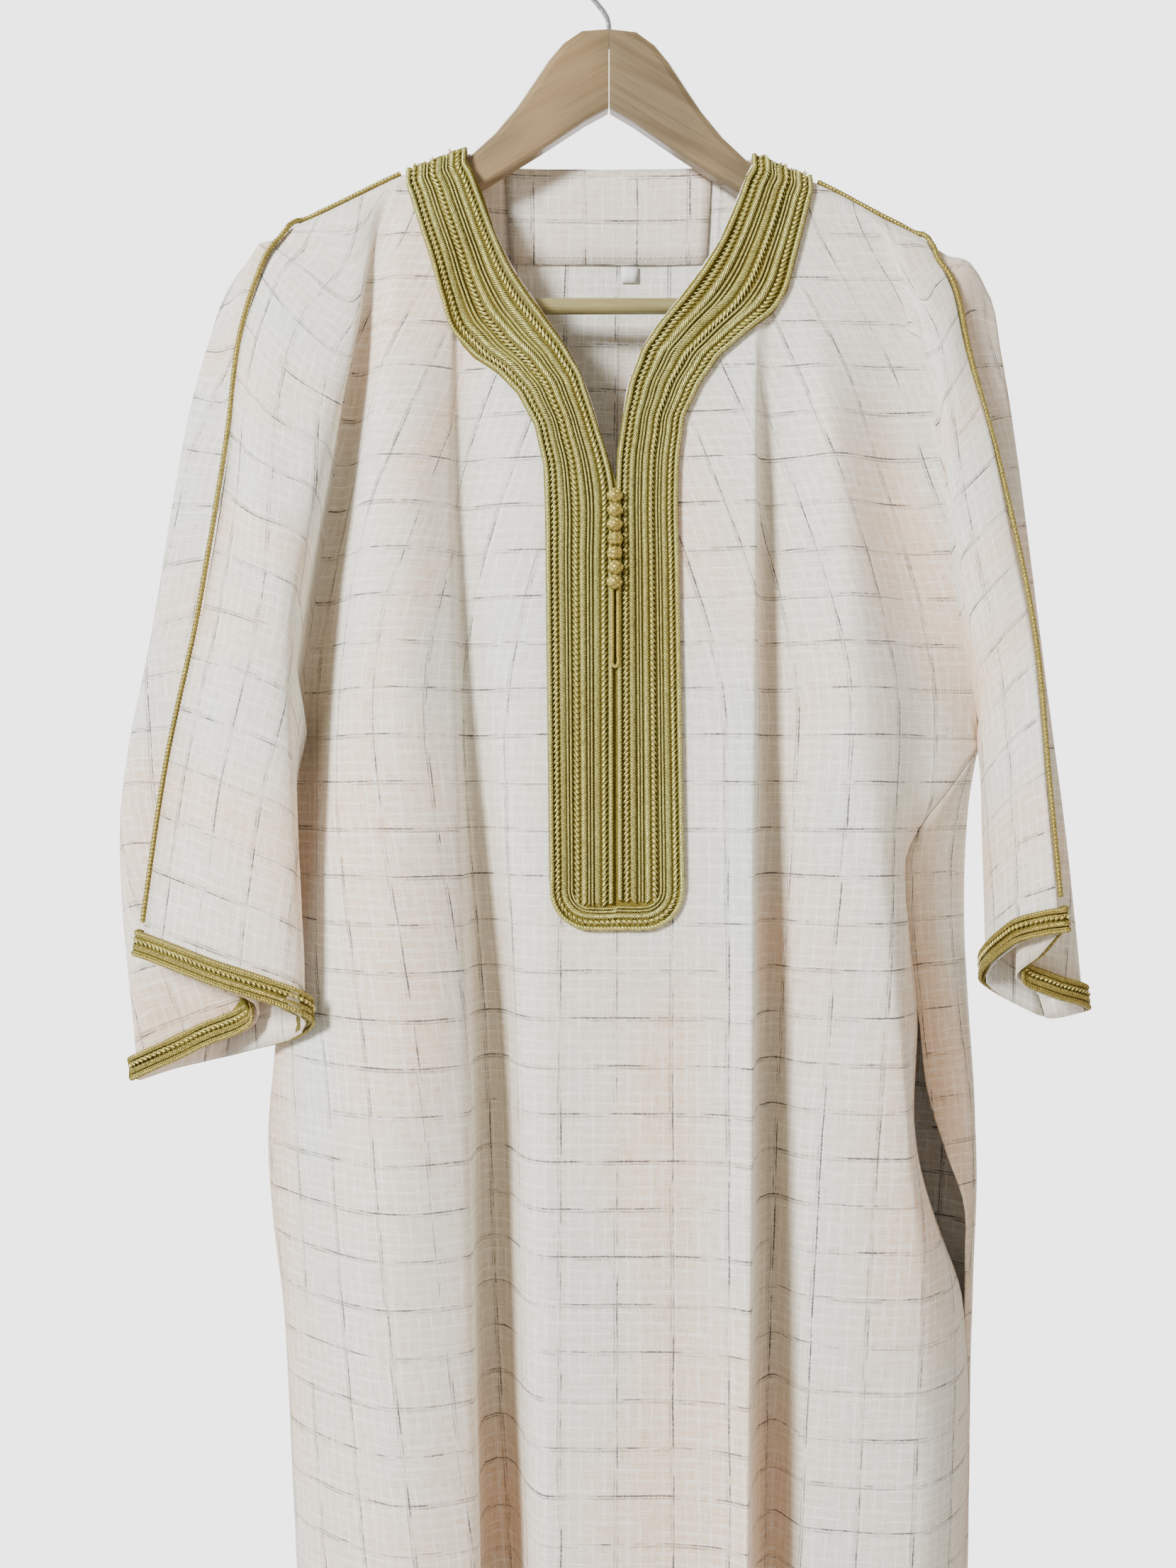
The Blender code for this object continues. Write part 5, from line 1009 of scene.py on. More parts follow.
def slub_weave():
    """Colour and height of the robe's cloth from its weave coordinates, with painted shade where Hollow is
    high.
    """
    tree, net, given, out = node_group(
        "slub_weave",
        [("Weave", "Vector", None), ("Base", "Color", (0.7, 0.66, 0.6, 1)),
         ("Cool", "Color", (0.68, 0.69, 0.7, 1)),
         ("Warm", "Color", (0.83, 0.69, 0.56, 1)), ("Slate", "Color", (0.12, 0.12, 0.15, 1)),
         ("Pitch Across", "Float", 0.032), ("Pitch Down", "Float", 0.027), ("Shift", "Float", 0.0),
         ("Warmth", "Float", 0.5), ("Hollow", "Float", 0.0)],
        [("Color", "Color"), ("Height", "Float")])
    u, v, _ = net.split(given["Weave"])
    shifted = net.plus(u, given["Shift"])
    pane = net.math("MAXIMUM", thread_mask(net, v, shifted, given["Pitch Across"], PANE_WANDER, SLATE, 1.0),
                    thread_mask(net, u, v, given["Pitch Down"], PANE_WANDER, SLATE, 5.0))
    white = net.math("MAXIMUM",
                     thread_mask(net, v, u, WHITE_ACROSS, WHITE_ACROSS * WHITE_WANDER, WHITE, 11.0),
                     thread_mask(net, u, v, WHITE_DOWN, WHITE_DOWN * WHITE_WANDER, WHITE, 15.0))

    def stretched(across, down, seed, detail=2.0):
        """Noise over the weave, with its own scale each way."""
        return net.noise(net.join(net.times(u, across), net.times(v, down), seed), detail=detail)

    streaks = net.plus(stretched(1500.0, 90.0, 2.0, 1.0), stretched(90.0, 1500.0, 4.0, 1.0))
    warm_patch = net.ramp(stretched(9.0, 3.5, 3.0), 0.42, 0.66)
    cool_patch = net.ramp(stretched(7.0, 3.0, 8.0), 0.48, 0.68)
    colour = net.mix(net.times(cool_patch, 0.7), given["Base"], given["Cool"])
    colour = net.mix(net.times(warm_patch, given["Warmth"]), colour, given["Warm"])
    colour = net.mix(net.ramp(streaks, 0.74, 1.24, 0.0, 0.40), colour, linear(246, 243, 238))
    colour = net.mix(net.ramp(streaks, 0.97, 0.68, 0.0, 0.32), colour, linear(178, 164, 146))
    colour = net.mix(white, colour, linear(252, 251, 248))
    colour = net.mix(net.times(pane, 0.9), colour, given["Slate"])
    # Painted shade: where Hollow is high the colour turns a warm brown, standing in for the shade and warm
    # bounced light deep between the folds.
    painted_fold_shade = net.mix(1.0, colour, linear(214, 188, 156), "MULTIPLY")
    net.put(out["Color"], net.mix(net.times(given["Hollow"], 0.5), colour, painted_fold_shade))
    threads = net.math("MAXIMUM", pane, white)
    net.put(out["Height"], net.plus(net.times(streaks, 0.35), net.times(threads, 0.5)))
    return tree


weave_group = slub_weave()


def new_material(name):
    """A material with an empty tree but for its Principled shader, and its net."""
    made = bpy.data.materials.new(name)
    made.use_nodes = True
    shader = made.node_tree.nodes["Principled BSDF"]
    return made, Net(made.node_tree), shader


def use_group(net, group):
    """Places a shader group in a material."""
    node = net.tree.nodes.new("ShaderNodeGroup")
    node.node_tree = group
    return node


def set_values(node, **values):
    """Sets a node's inputs by name, with _ for each space."""
    for label, value in values.items():
        node.inputs[label.replace("_", " ")].default_value = value


def cloth_material(name, warmth, base, shift=0.0):
    """The robe's cloth in one of its tones."""
    made, net, shader = new_material(name)
    own = net.tree.nodes.new("ShaderNodeUVMap")
    own.uv_map = "weave"
    cloth = use_group(net, weave_group)
    net.put(cloth.inputs["Weave"], own.outputs[0])
    set_values(cloth, Base=base, Cool=linear(206, 215, 212), Warm=linear(234, 200, 168),
               Slate=linear(68, 66, 70), Warmth=warmth, Shift=shift)
    # Painted shade: the attribute hollow darkens the cloth in the hollows between the folds.
    deep = net.tree.nodes.new("ShaderNodeAttribute")
    deep.attribute_name = "hollow"
    net.put(cloth.inputs["Hollow"], deep.outputs["Fac"])
    net.put(shader.inputs["Base Color"], cloth.outputs["Color"])
    net.bump(shader, cloth.outputs["Height"], 0.35, 0.0003)
    set_values(shader, Roughness=0.82, Specular_IOR_Level=0.25, Sheen_Weight=0.18, Sheen_Roughness=0.5)
    return made


robe_cloth = cloth_material("robe_cloth", 0.85, linear(217, 214, 201))
facing_cloth = cloth_material("facing_cloth", 1.0, linear(224, 208, 190), shift=0.004)
robe_front.data.materials.append(robe_cloth)
robe_back.data.materials.append(robe_cloth)
print("cloth material ready")


# %% [markdown]
# The gold trim is metallic thread worked into braid: rows of herringbone, each arm a few
# threads lying side by side, fine chains beside them, dark gaps between the rows, and a
# twisted cord along each edge. The gaps show a dark ground under the threads, partly the
# braid's own darker base and partly painted shade. One short thread is modelled once, and
# Geometry Nodes set thousands of it on points that carry their own turn and size.

# %% Gold thread
def thread_gloss():
    """Colour and height of metallic thread from a place, with a slow change of tone."""
    tree, net, given, out = node_group(
        "thread_gloss",
        [("Place", "Vector", None), ("Light", "Color", (0.8, 0.7, 0.3, 1)),
         ("Dark", "Color", (0.3, 0.2, 0.05, 1)),
         ("Red", "Color", (0.6, 0.4, 0.1, 1)), ("Grain", "Float", 900.0)],
        [("Color", "Color"), ("Height", "Float"), ("Roughness", "Float")])
    fine = net.noise(given["Place"], given["Grain"], 2.0)
    slow = net.noise(given["Place"], 14.0, 2.0)
    tone = net.mix(net.ramp(slow, 0.42, 0.64, 0.0, 0.5), given["Light"], given["Red"])
    net.put(out["Color"], net.mix(net.ramp(fine, 0.36, 0.62, 0.65, 0.0), tone, given["Dark"]))
    net.put(out["Height"], fine)
    net.put(out["Roughness"], net.ramp(fine, 0.3, 0.7, 0.5, 0.3))
    return tree


gloss_group = thread_gloss()


def gold_material(name, light, dark, red, metallic=0.55, shine=0.5):
    """Gold thread in one of its tones."""
    made, net, shader = new_material(name)
    place = net.tree.nodes.new("ShaderNodeTexCoord").outputs["Object"]
    thread = use_group(net, gloss_group)
    net.put(thread.inputs["Place"], place)
    set_values(thread, Light=light, Dark=dark, Red=red)
    net.put(shader.inputs["Base Color"], thread.outputs["Color"])
    net.put(shader.inputs["Roughness"], thread.outputs["Roughness"])
    net.bump(shader, thread.outputs["Height"], 0.4, 0.0002)
    set_values(shader, Metallic=metallic, Specular_IOR_Level=shine)
    return made


gold_thread = gold_material("gold_thread", linear(200, 196, 122), linear(102, 96, 50), linear(190, 178, 96))
# The braid's dark ground: partly its own darker base, partly painted shade of the gaps between its threads.
gold_ground_and_shade = gold_material("gold_ground_and_shade", linear(124, 112, 48), linear(80, 70, 26), linear(110, 92, 36),
                            0.0, 0.05)
gold_cord = gold_material("gold_cord", linear(188, 172, 92), linear(104, 90, 42), linear(180, 156, 72))
# Painted highlight: the picot threads get a paler gold than the rest, standing in for the glints that light
# makes on them.
picot_painted_glint = gold_material("picot_painted_glint", linear(236, 228, 150), linear(166, 156, 84), linear(228, 212, 126))


# %% One thread, and the tree that sets it on points
def thread_mesh(name, long, wide, high, rings=4, sides=6):
    """A short thread lying along X, pointed at its ends, in metres."""
    bm = bmesh.new()
    loops = []
    for r in range(rings + 1):
        t = r / rings * 2 - 1
        swell = math.sqrt(max(1 - t * t * 0.92, 0.04))
        angles = [2 * math.pi * k / sides for k in range(sides)]
        loops.append([bm.verts.new((t * long / 2, math.cos(a) * wide / 2 * swell,
                                    math.sin(a) * high / 2 * swell)) for a in angles])
    for a, b in zip(loops, loops[1:]):
        for k in range(sides):
            bm.faces.new((a[k], a[(k + 1) % sides], b[(k + 1) % sides], b[k]))
    bm.faces.new(loops[0])
    bm.faces.new(reversed(loops[-1]))
    bmesh.ops.recalc_face_normals(bm, faces=bm.faces)
    mesh = bpy.data.meshes.new(name)
    bm.to_mesh(mesh)
    bm.free()
    mesh.shade_smooth()
    return mesh


def modifier_input(modifier, label, value):
    """Sets a Geometry Nodes input by its socket's identifier."""
    for item in modifier.node_group.interface.items_tree:
        if item.item_type == "SOCKET" and item.in_out == "INPUT" and item.name == label:
            modifier[item.identifier] = value
            return
    raise KeyError(label)


def geometry_group(name, *inputs):
    """A Geometry Nodes tree with named inputs: its node and link calls, and its inputs' sockets."""
    tree = bpy.data.node_groups.new(name, "GeometryNodeTree")
    for label, kind in (("Geometry", "Geometry"), *inputs, ("Finish", "Material")):
        tree.interface.new_socket(name=label, in_out="INPUT", socket_type="NodeSocket" + kind)
    tree.interface.new_socket(name="Geometry", in_out="OUTPUT", socket_type="NodeSocketGeometry")
    return tree, tree.nodes.new, tree.links.new, tree.nodes.new("NodeGroupInput").outputs


def put_out(new, link, given, shape):
    """Ends a tree: real geometry in its finish."""
    real = new("GeometryNodeRealizeInstances")
    link(shape, real.inputs[0])
    finish = new("GeometryNodeSetMaterial")
    link(real.outputs[0], finish.inputs["Geometry"])
    link(given["Finish"], finish.inputs["Material"])
    link(finish.outputs[0], new("NodeGroupOutput").inputs["Geometry"])


def set_on_points():
    """Tree: one piece on every point, by the point's turn and size attributes."""
    tree, new, link, given = geometry_group("set_on_points", ("Piece", "Object"), ("Scale", "Float"))
    piece = new("GeometryNodeObjectInfo")
    link(given["Piece"], piece.inputs["Object"])
    stored = {}
    for label in ("turn", "size"):
        stored[label] = new("GeometryNodeInputNamedAttribute")
        stored[label].data_type = "FLOAT_VECTOR"
        stored[label].inputs["Name"].default_value = label
    spin = new("FunctionNodeEulerToRotation")
    link(stored["turn"].outputs["Attribute"], spin.inputs[0])
    grow = new("ShaderNodeVectorMath")
    grow.operation = "SCALE"
    link(stored["size"].outputs["Attribute"], grow.inputs[0])
    link(given["Scale"], grow.inputs["Scale"])
    place = new("GeometryNodeInstanceOnPoints")
    for source, label in ((given["Geometry"], "Points"), (piece.outputs["Geometry"], "Instance"),
                          (spin.outputs[0], "Rotation"), (grow.outputs[0], "Scale")):
        link(source, place.inputs[label])
    put_out(new, link, given, place.outputs[0])
    return tree


points_tree = set_on_points()


def settle(obj, name):
    """The evaluated result of an object as a plain mesh object; the object itself is removed."""
    bpy.context.view_layer.update()
    graph = bpy.context.evaluated_depsgraph_get()
    mesh = bpy.data.meshes.new_from_object(obj.evaluated_get(graph))
    mesh.name = name
    made = bpy.data.objects.new(name, mesh)
    scene.collection.objects.link(made)
    bpy.data.objects.remove(obj)
    mesh.shade_smooth()
    return made


def scatter(name, spots, piece_mesh, finish):
    """Copies of a mesh on spots of (place in metres, 3x3 axes, (sx, sy, sz))."""
    mesh = bpy.data.meshes.new(name + "_points")
    mesh.from_pydata([tuple(p) for p, _, _ in spots], [], [])
    turns = mesh.attributes.new("turn", "FLOAT_VECTOR", "POINT")
    sizes = mesh.attributes.new("size", "FLOAT_VECTOR", "POINT")
    for i, (_, axes, size) in enumerate(spots):
        turns.data[i].vector = Matrix(axes).transposed().to_euler()
        sizes.data[i].vector = size
    cloud = bpy.data.objects.new(name + "_points", mesh)
    scene.collection.objects.link(cloud)
    single = bpy.data.objects.new(name + "_single", piece_mesh)
    scene.collection.objects.link(single)
    nodes = cloud.modifiers.new("set", "NODES")
    nodes.node_group = points_tree
    modifier_input(nodes, "Piece", single)
    modifier_input(nodes, "Scale", 1.0)
    modifier_input(nodes, "Finish", finish)
    made = settle(cloud, name)
    bpy.data.objects.remove(single)
    made.data.materials.clear()
    made.data.materials.append(finish)
    print(name, len(spots), "set,", len(made.data.polygons), "faces")
    return made


def twist_along():
    """Tree: a profile swept along a curve and twisted by one turn in every pitch."""
    tree, new, link, given = geometry_group("twist_along", ("Profile", "Object"), ("Pitch", "Float"))
    run = new("GeometryNodeSplineParameter")
    turns = new("ShaderNodeMath")
    turns.operation = "DIVIDE"
    link(run.outputs["Length"], turns.inputs[0])
    link(given["Pitch"], turns.inputs[1])
    angle = new("ShaderNodeMath")
    angle.operation = "MULTIPLY"
    link(turns.outputs[0], angle.inputs[0])
    angle.inputs[1].default_value = 2 * math.pi
    tilt = new("GeometryNodeSetCurveTilt")
    link(given["Geometry"], tilt.inputs[0])
    link(angle.outputs[0], tilt.inputs["Tilt"])
    profile = new("GeometryNodeObjectInfo")
    link(given["Profile"], profile.inputs["Object"])
    sweep = new("GeometryNodeCurveToMesh")
    link(tilt.outputs[0], sweep.inputs["Curve"])
    link(profile.outputs["Geometry"], sweep.inputs["Profile Curve"])
    sweep.inputs["Fill Caps"].default_value = True
    put_out(new, link, given, sweep.outputs[0])
    return tree


twist_tree = twist_along()


def poly_curve(name, lines, cyclic=False):
    """A curve object of straight stretches through some lists of points in metres."""
    curve = bpy.data.curves.new(name, "CURVE")
    curve.dimensions = "3D"
    for points in lines:
        line = curve.splines.new("POLY")
        line.points.add(len(points) - 1)
        for target, p in zip(line.points, points):
            target.co = (*p, 1)
        line.use_cyclic_u = cyclic
    obj = bpy.data.objects.new(name, curve)
    scene.collection.objects.link(obj)
    return obj


def twisted_cord(name, lines, radius, pitch, finish, strands=2, cyclic=False):
    """Twisted cords through lists of points, all in millimetres."""
    ring = []
    for k in range(6 * strands):
        turn = 2 * math.pi * k / (6 * strands)
        reach = radius * (0.70 + 0.30 * abs(math.cos(turn * strands / 2)))
        ring.append((reach * math.cos(turn) * MM, reach * math.sin(turn) * MM, 0))
    profile = poly_curve(name + "_profile", [ring], True)
    route = poly_curve(name + "_route", [[np.array(p) * MM for p in points] for points in lines], cyclic)
    nodes = route.modifiers.new("twist", "NODES")
    nodes.node_group = twist_tree
    modifier_input(nodes, "Profile", profile)
    modifier_input(nodes, "Pitch", pitch * MM)
    modifier_input(nodes, "Finish", finish)
    made = settle(route, name)
    bpy.data.objects.remove(profile)
    made.data.materials.clear()
    made.data.materials.append(finish)
    print(name, len(made.data.polygons), "faces")
    return made


# %% [markdown]
# The braid follows the neck's edge and then the placket. The solid braid's highest places, taken
# as one smooth sheet, carry the rows. The outermost row turns in a U at the placket's foot, and
# the inner rows end against it.

# %% Smooth sheet under the neck braid's rows
BRAID_TOP = (121.0, 84.0)   # its outer and inner edge on the shoulder
BRAID_DROPS = (0.3, 1.4, 4.8, 9.5)      # heights of its first rows below the shoulder line
BRAID_BEND = (4, 9)         # stations between which the braid bends and has rows halfway
PLACKET_FOOT = -598.0
PLACKET_CORNER = 24.0       # radius of its outer corners
PLACKET_GROWS = 0.08        # how much wider the placket is at its foot than at the V, over 230 mm
RIDGE_SHARES = (0.05, 0.20, 0.31, 0.46, 0.58, 0.73, 0.83, 0.94)   # where the solid stands highest
SHEET_STEP = 2.0            # distance between the sheet's rows


def braid_rows(side):
    """Outer and inner edge points (x, z) of the neck braid down one side to the placket's foot."""
    rows = BRAID_LEFT if side < 0 else BRAID_RIGHT
    fine = [BraidRow(side * BRAID_TOP[0], ridge(side * BRAID_TOP[0])[2] - drop,
                     side * BRAID_TOP[1], ridge(side * BRAID_TOP[1])[2] - drop)
            for drop in BRAID_DROPS]
    for i, (a, b) in enumerate(zip(rows, rows[1:])):
        fine.append(a)
        if BRAID_BEND[0] <= i < BRAID_BEND[1]:
            fine.append(BraidRow(*[(p + q) / 2 for p, q in zip(a, b)]))
    fine.append(rows[-1])
    out = [((r.out_x, r.out_z), (r.in_x, r.in_z)) for r in fine]
    wide = abs(rows[-1].out_x)
    for z in PLACKET_HEIGHTS:
        grow = 1 + PLACKET_GROWS * (rows[-1].out_z - z) / 230
        edge = side * wide * grow if side > 0 else -wide * (2 - grow)
        out.append(((edge, z), (PLACKET_MIDDLE, z)))
    edge = out[-1][0][0]
    for angle in (25, 50, 72, 90):
        turn = math.radians(angle)
        x = edge - side * PLACKET_CORNER * (1 - math.cos(turn))
        z = PLACKET_FOOT + PLACKET_CORNER * (1 - math.sin(turn))
        out.append(((x, z), (PLACKET_MIDDLE, z)))
    return out


def surface_tree(grids):
    """A search tree over the quads of some grids."""
    points, faces = [], []
    for grid in grids:
        wide = len(grid[0])
        start = len(points)
        points += [Vector(p) for row in grid for p in row]
        for r in range(len(grid) - 1):
            for i in range(wide - 1):
                a = start + r * wide + i
                faces.append((a, a + wide, a + wide + 1, a + 1))
    return BVHTree.FromPolygons(points, faces)


def smooth_line(points, step, closed=False):
    """Points at an even step along a smooth line through some points of any number of axes."""
    points = np.array(points, float)
    gaps = np.linalg.norm(np.diff(points, axis=0), axis=1)
    points = points[np.concatenate([[True], gaps > 0.05])]
    if closed:
        points = np.concatenate([points[-4:-1], points, points[1:4]])
    keys = np.concatenate([[0], np.cumsum(np.linalg.norm(np.diff(points, axis=0), axis=1))])
    first, last = (keys[3], keys[-4]) if closed else (0, keys[-1])
    fine = np.linspace(first, last, int((last - first) * 2 / step) + 2)
    dense = np.array([spline(keys, points, k) for k in fine])
    run = np.concatenate([[0], np.cumsum(np.linalg.norm(np.diff(dense, axis=0), axis=1))])
    at = np.linspace(0, run[-1], max(2, int(round(run[-1] / step)) + 1))
    return np.stack([np.interp(at, run, dense[:, k]) for k in range(dense.shape[1])], axis=1)


def on_braid(x, z, before):
    """The solid braid's front at (x, z) in millimetres, or the place on it nearest to that and `before`."""
    hit = neck_tree.ray_cast(Vector((x, -300, z)) * MM, Vector((0, 1, 0)))[0]
    if hit is None:
        hit = neck_tree.find_nearest(Vector((x, before, z)) * MM)[0]
    return np.array(hit) / MM


def braid_sheet(side):
    """Rows of places across the braid's high surface, down one side to the placket's foot, each
    with the braid's width there as a share of its width on the placket."""
    pairs = np.array([[*o, *i] for o, i in braid_rows(side)[:-4]])
    edge, _, inner, _ = pairs[-1]
    pairs = np.concatenate([pairs, [[edge, PLACKET_FOOT + 2, inner, PLACKET_FOOT + 2]]])
    middle = (pairs[:, :2] + pairs[:, 2:]) / 2
    keys = np.concatenate([[0], np.cumsum(np.linalg.norm(np.diff(middle, axis=0), axis=1))])
    sheet, depths = [], [-10.0] * len(RIDGE_SHARES)
    placket = np.hypot(*(pairs[-1, :2] - pairs[-1, 2:]))
    for at in np.linspace(0, keys[-1], int(keys[-1] / SHEET_STEP)):
        ox, oz, ix, iz = spline(keys, pairs, at)
        row = []
        wide = math.hypot(ox - ix, oz - iz) / placket
        for k, share in enumerate(RIDGE_SHARES):
            x, z = ox + (ix - ox) * share, oz + (iz - oz) * share
            y = on_braid(x, z, depths[k])[1]
            depths[k] = y
            row.append((x, y, z, wide))
        sheet.append(row)
    sheet = np.array(sheet)
    padded = np.pad(sheet[:, :, 1], ((2, 2), (0, 0)), mode="edge")
    sheet[:, :, 1] = sum(padded[k:k + len(sheet)] for k in range(5)) / 5
    return sheet


sheets = {side: braid_sheet(side) for side in (-1, 1)}
high_tree = surface_tree([sheets[side][:, :, :3] for side in (-1, 1)])


U_ROW = 0.365           # rows whose share of the width is less than this turn at the foot


def braid_path(side, share, step):
    """Even places along the braid at a share of its width from the outer edge."""
    sheet = sheets[side]
    line = [[np.interp(share, RIDGE_SHARES, row[:, k]) for k in range(4)] for row in sheet]
    edge = braid_rows(side)[-5][0][0]
    inset = share * abs(edge - PLACKET_MIDDLE)
    if share > U_ROW:
        line = [p for p in line if p[2] > PLACKET_FOOT + U_ROW * abs(edge - PLACKET_MIDDLE) + 1.5]
    else:
        line = [p for p in line if p[2] > PLACKET_FOOT + PLACKET_CORNER]
        reach = PLACKET_CORNER - inset
        centre = edge - side * PLACKET_CORNER
        for angle in range(0, 91, 10):
            turn = math.radians(angle)
            line.append([centre + side * reach * math.cos(turn), line[-1][1],
                         PLACKET_FOOT + PLACKET_CORNER - reach * math.sin(turn), 1.0])
        line.append([PLACKET_MIDDLE, line[-1][1], PLACKET_FOOT + inset, 1.0])
        for p in line[-11:]:
            row = sheet[int(np.argmin(abs(sheet[:, 0, 2] - max(p[2], PLACKET_FOOT + 4))))]
            order = np.argsort(row[:, 0])
            p[1] = float(np.interp(p[0], row[order, 0], row[order, 1]))
    return smooth_line(line, step)


def with_axes(places, closed=False):
    """Each place with its directions along, across and out of the braid's sheet, and its width there."""
    outs = []
    for p in places:
        normal = high_tree.find_nearest(Vector(p[:3]))[1]
        outs.append(np.array(-normal if normal.y > 0 else normal))
    axes = path_axes(places[:, :3], np.array(outs), closed)
    return [(*at, wide) for at, wide in zip(axes, places[:, 3])]


def path_axes(places, outs, closed=False):
    """Each place on a path with its directions along, across and out, smoothed a little."""
    reach = 3
    mode = "wrap" if closed else "edge"
    outs = np.pad(outs, ((reach, reach), (0, 0)), mode=mode)
    outs = sum(outs[k:k + len(places)] for k in range(2 * reach + 1))
    ends = np.pad(places, ((1, 1), (0, 0)), mode=mode)
    alongs = ends[2:] - ends[:-2]
    frames = []
    for p, t, n in zip(places, alongs, outs):
        t = t / max(np.linalg.norm(t), 1e-9)
        a = np.cross(n, t)
        a = a / max(np.linalg.norm(a), 1e-9)
        frames.append((p, t, a, np.cross(t, a)))
    return frames


# %% Herringbone rows and chains
HERRING_STEP = 1.55     # distance between threads along a row
HERRING_HALF = 1.95     # how far each arm's middle is from the row's middle
HERRING_TURN = math.radians(42)
PICOT_LONG, PICOT_HIGH, PICOT_IN = 0.52, 1.8, 0.8   # length, height and place of the bright threads
CHAIN_STEP = 1.2
CHAIN_HALF = 0.92
CHAIN_TURN = math.radians(28)


def turned(at, angle, aside, lift):
    """Place and axes of a thread on a path: turned in the surface, moved aside and out."""
    p, t, a, n = at[:4]
    x = t * math.cos(angle) + a * math.sin(angle)
    return Vector((p + a * aside + n * lift) * MM), (tuple(x), tuple(np.cross(n, x)), tuple(n))


def braid_share(at):
    """How wide a row is where the braid is wider than on the placket. Cuff braid has one width."""
    return max(at[4] ** 0.9, 0.9) if len(at) > 4 else 1.0


def herringbone(path, point_down, wide=1.0, picot=0):
    """Spots of one herringbone row's threads, and of the bright high ones along its side `picot`, which are
    bright by their height and by a painted highlight in their paler gold.
    """
    spots, picots = [], []
    spread = wide
    for k, at in enumerate(path):
        wide = spread * braid_share(at)
        for side in (-1, 1):
            angle = side * HERRING_TURN * (-1 if point_down else 1)
            bright = k % 2 == 0 and side == picot
            long, high = (PICOT_LONG, PICOT_HIGH) if bright else (1, 0.8 if k % 2 else 1)
            lift = 0.1 + 0.3 * high + draw.uniform(-0.05, 0.05)
            place, axes = turned(at, angle, side * HERRING_HALF * wide * (PICOT_IN if bright else 1), lift)
            thick = draw.uniform(0.86, 1.05) * (1.05 if bright else (high + 1) / 2)
            size = (wide * long * draw.uniform(0.94, 1.05), thick, high * draw.uniform(0.9, 1.1))
            (picots if bright else spots).append((place, axes, size))
    return spots, picots


def chain(path):
    """Spots of a fine chain: two rows of small leaning threads, one half a step behind."""
    spots = []
    for at in path:
        wide = braid_share(at)
        for side in (-1, 1):
            place, axes = turned(at, side * CHAIN_TURN, side * CHAIN_HALF * wide, 0.3)
            place = place + Vector(at[1] * (CHAIN_STEP / 2 if side > 0 else 0) * MM)
            spots.append((place, axes, (draw.uniform(0.9, 1.05), wide, 1.0)))
    return spots


herring_thread = thread_mesh("herring_thread", 4.9 * MM, 1.36 * MM, 1.2 * MM, 3, 6)
chain_thread = thread_mesh("chain_thread", 2.0 * MM, 1.3 * MM, 1.15 * MM, 2, 5)

# Each row: share of the width, which way the herringbone points on the left, its width, its bright side,
# whose high threads carry a painted highlight
HERRING_ROWS = ((0.185, False, 1.0, 1), (0.482, True, 1.04, 1), (0.79, True, 1.04, -1))
CHAIN_SHARES = (0.326, 0.634)
CORD_SHARES = (0.05, 0.935)
herring_spots, picot_spots, chain_spots = [], [], []
for side in (-1, 1):
    for share, down, wide, picot in HERRING_ROWS:
        path = with_axes(braid_path(side, share, HERRING_STEP))
        low, bright = herringbone(path, down if side < 0 else not down, wide, picot * side)
        herring_spots += low
        picot_spots += bright
    for share in CHAIN_SHARES:
        chain_spots += chain(with_axes(braid_path(side, share, CHAIN_STEP)))
neck_herringbone = scatter("neck_herringbone", herring_spots, herring_thread, gold_thread)
# The high picot threads, in the paler gold of a painted highlight.
neck_picots = scatter("neck_picots", picot_spots, herring_thread, picot_painted_glint)
neck_chains = scatter("neck_chains", chain_spots, chain_thread, gold_thread)

# %% Cords along the neck braid's edges
cord_lines = []
for side in (-1, 1):
    for share in CORD_SHARES:
        cord_lines.append([at[0] + at[3] * 0.2 for at in with_axes(braid_path(side, share, 0.6))])
EDGE_RADIUS, EDGE_PITCH = 1.45, 3.8
neck_cords = twisted_cord("neck_cords", cord_lines, EDGE_RADIUS, EDGE_PITCH, gold_thread)


def ground_copy(name, node, finish, shrink):
    """A solid of the frame as one merged mesh, drawn in a little, to carry the threads."""
    bm = bmesh.new()
    bm.from_mesh(frame["nodes"][node].data)
    bmesh.ops.remove_doubles(bm, verts=bm.verts, dist=0.00001)
    bm.normal_update()
    for vertex in bm.verts:
        vertex.co -= vertex.normal * shrink * MM
    return add_mesh(name, bm, finish)


# Its dark ground is partly painted shade between the threads.
neck_ground = ground_copy("neck_ground", "neck_braid", gold_ground_and_shade, 0.45)


# %% [markdown]
# The cuffs' braid is the same work in a warmer gold: a twisted cord along each edge, one
# herringbone row, and a chain on each side of it. It goes all round each cuff.

# %% Cuff braids
CORNER_LEAST = 0.55     # keeps the braid from spiking at a tight corner
CUFF_BAND = 15.0        # width of the braid at the cuffs
CUFF_LIE = 1.0          # clear space under it, which spans the faces of a turning panel
CUFF_WARM = gold_material("cuff_gold", linear(172, 158, 84), linear(94, 80, 38), linear(162, 140, 66))
CUFF_RISE = 2.0         # height of the cuff braid's threads over its back


def sleeve_loop(side, table, station):
    """Closed loop of the sleeve's cloth at a station below the underarm."""
    names = ("crease", "middle", "inner", "under", "far", "outer", "near", "turn", "back_fold")
    points = [sleeve_point(table[n][1:], station) for n in names]
    softs = [table[n][0] for n in names]
    front = points[0] + (0, -(WALL / 2 + PINCH), 0)
    back = points[0] + (0, WALL / 2 + PINCH, 0)
    loop = across([front, *points[1:], back], [*softs, softs[0]], front, back, SLEEVE_SUB)
    return loop if side == "left" else loop[::-1]


def even_outward(before, here, after, rise):
    """The step from a corner that moves both of its edges outward by one."""
    first = np.cross(here - before, rise)
    second = np.cross(after - here, rise)
    first = first / np.linalg.norm(first)
    second = second / np.linalg.norm(second)
    middle = first + second
    middle = middle / max(np.linalg.norm(middle), 1e-6)
    return middle / max(middle @ first, CORNER_LEAST)


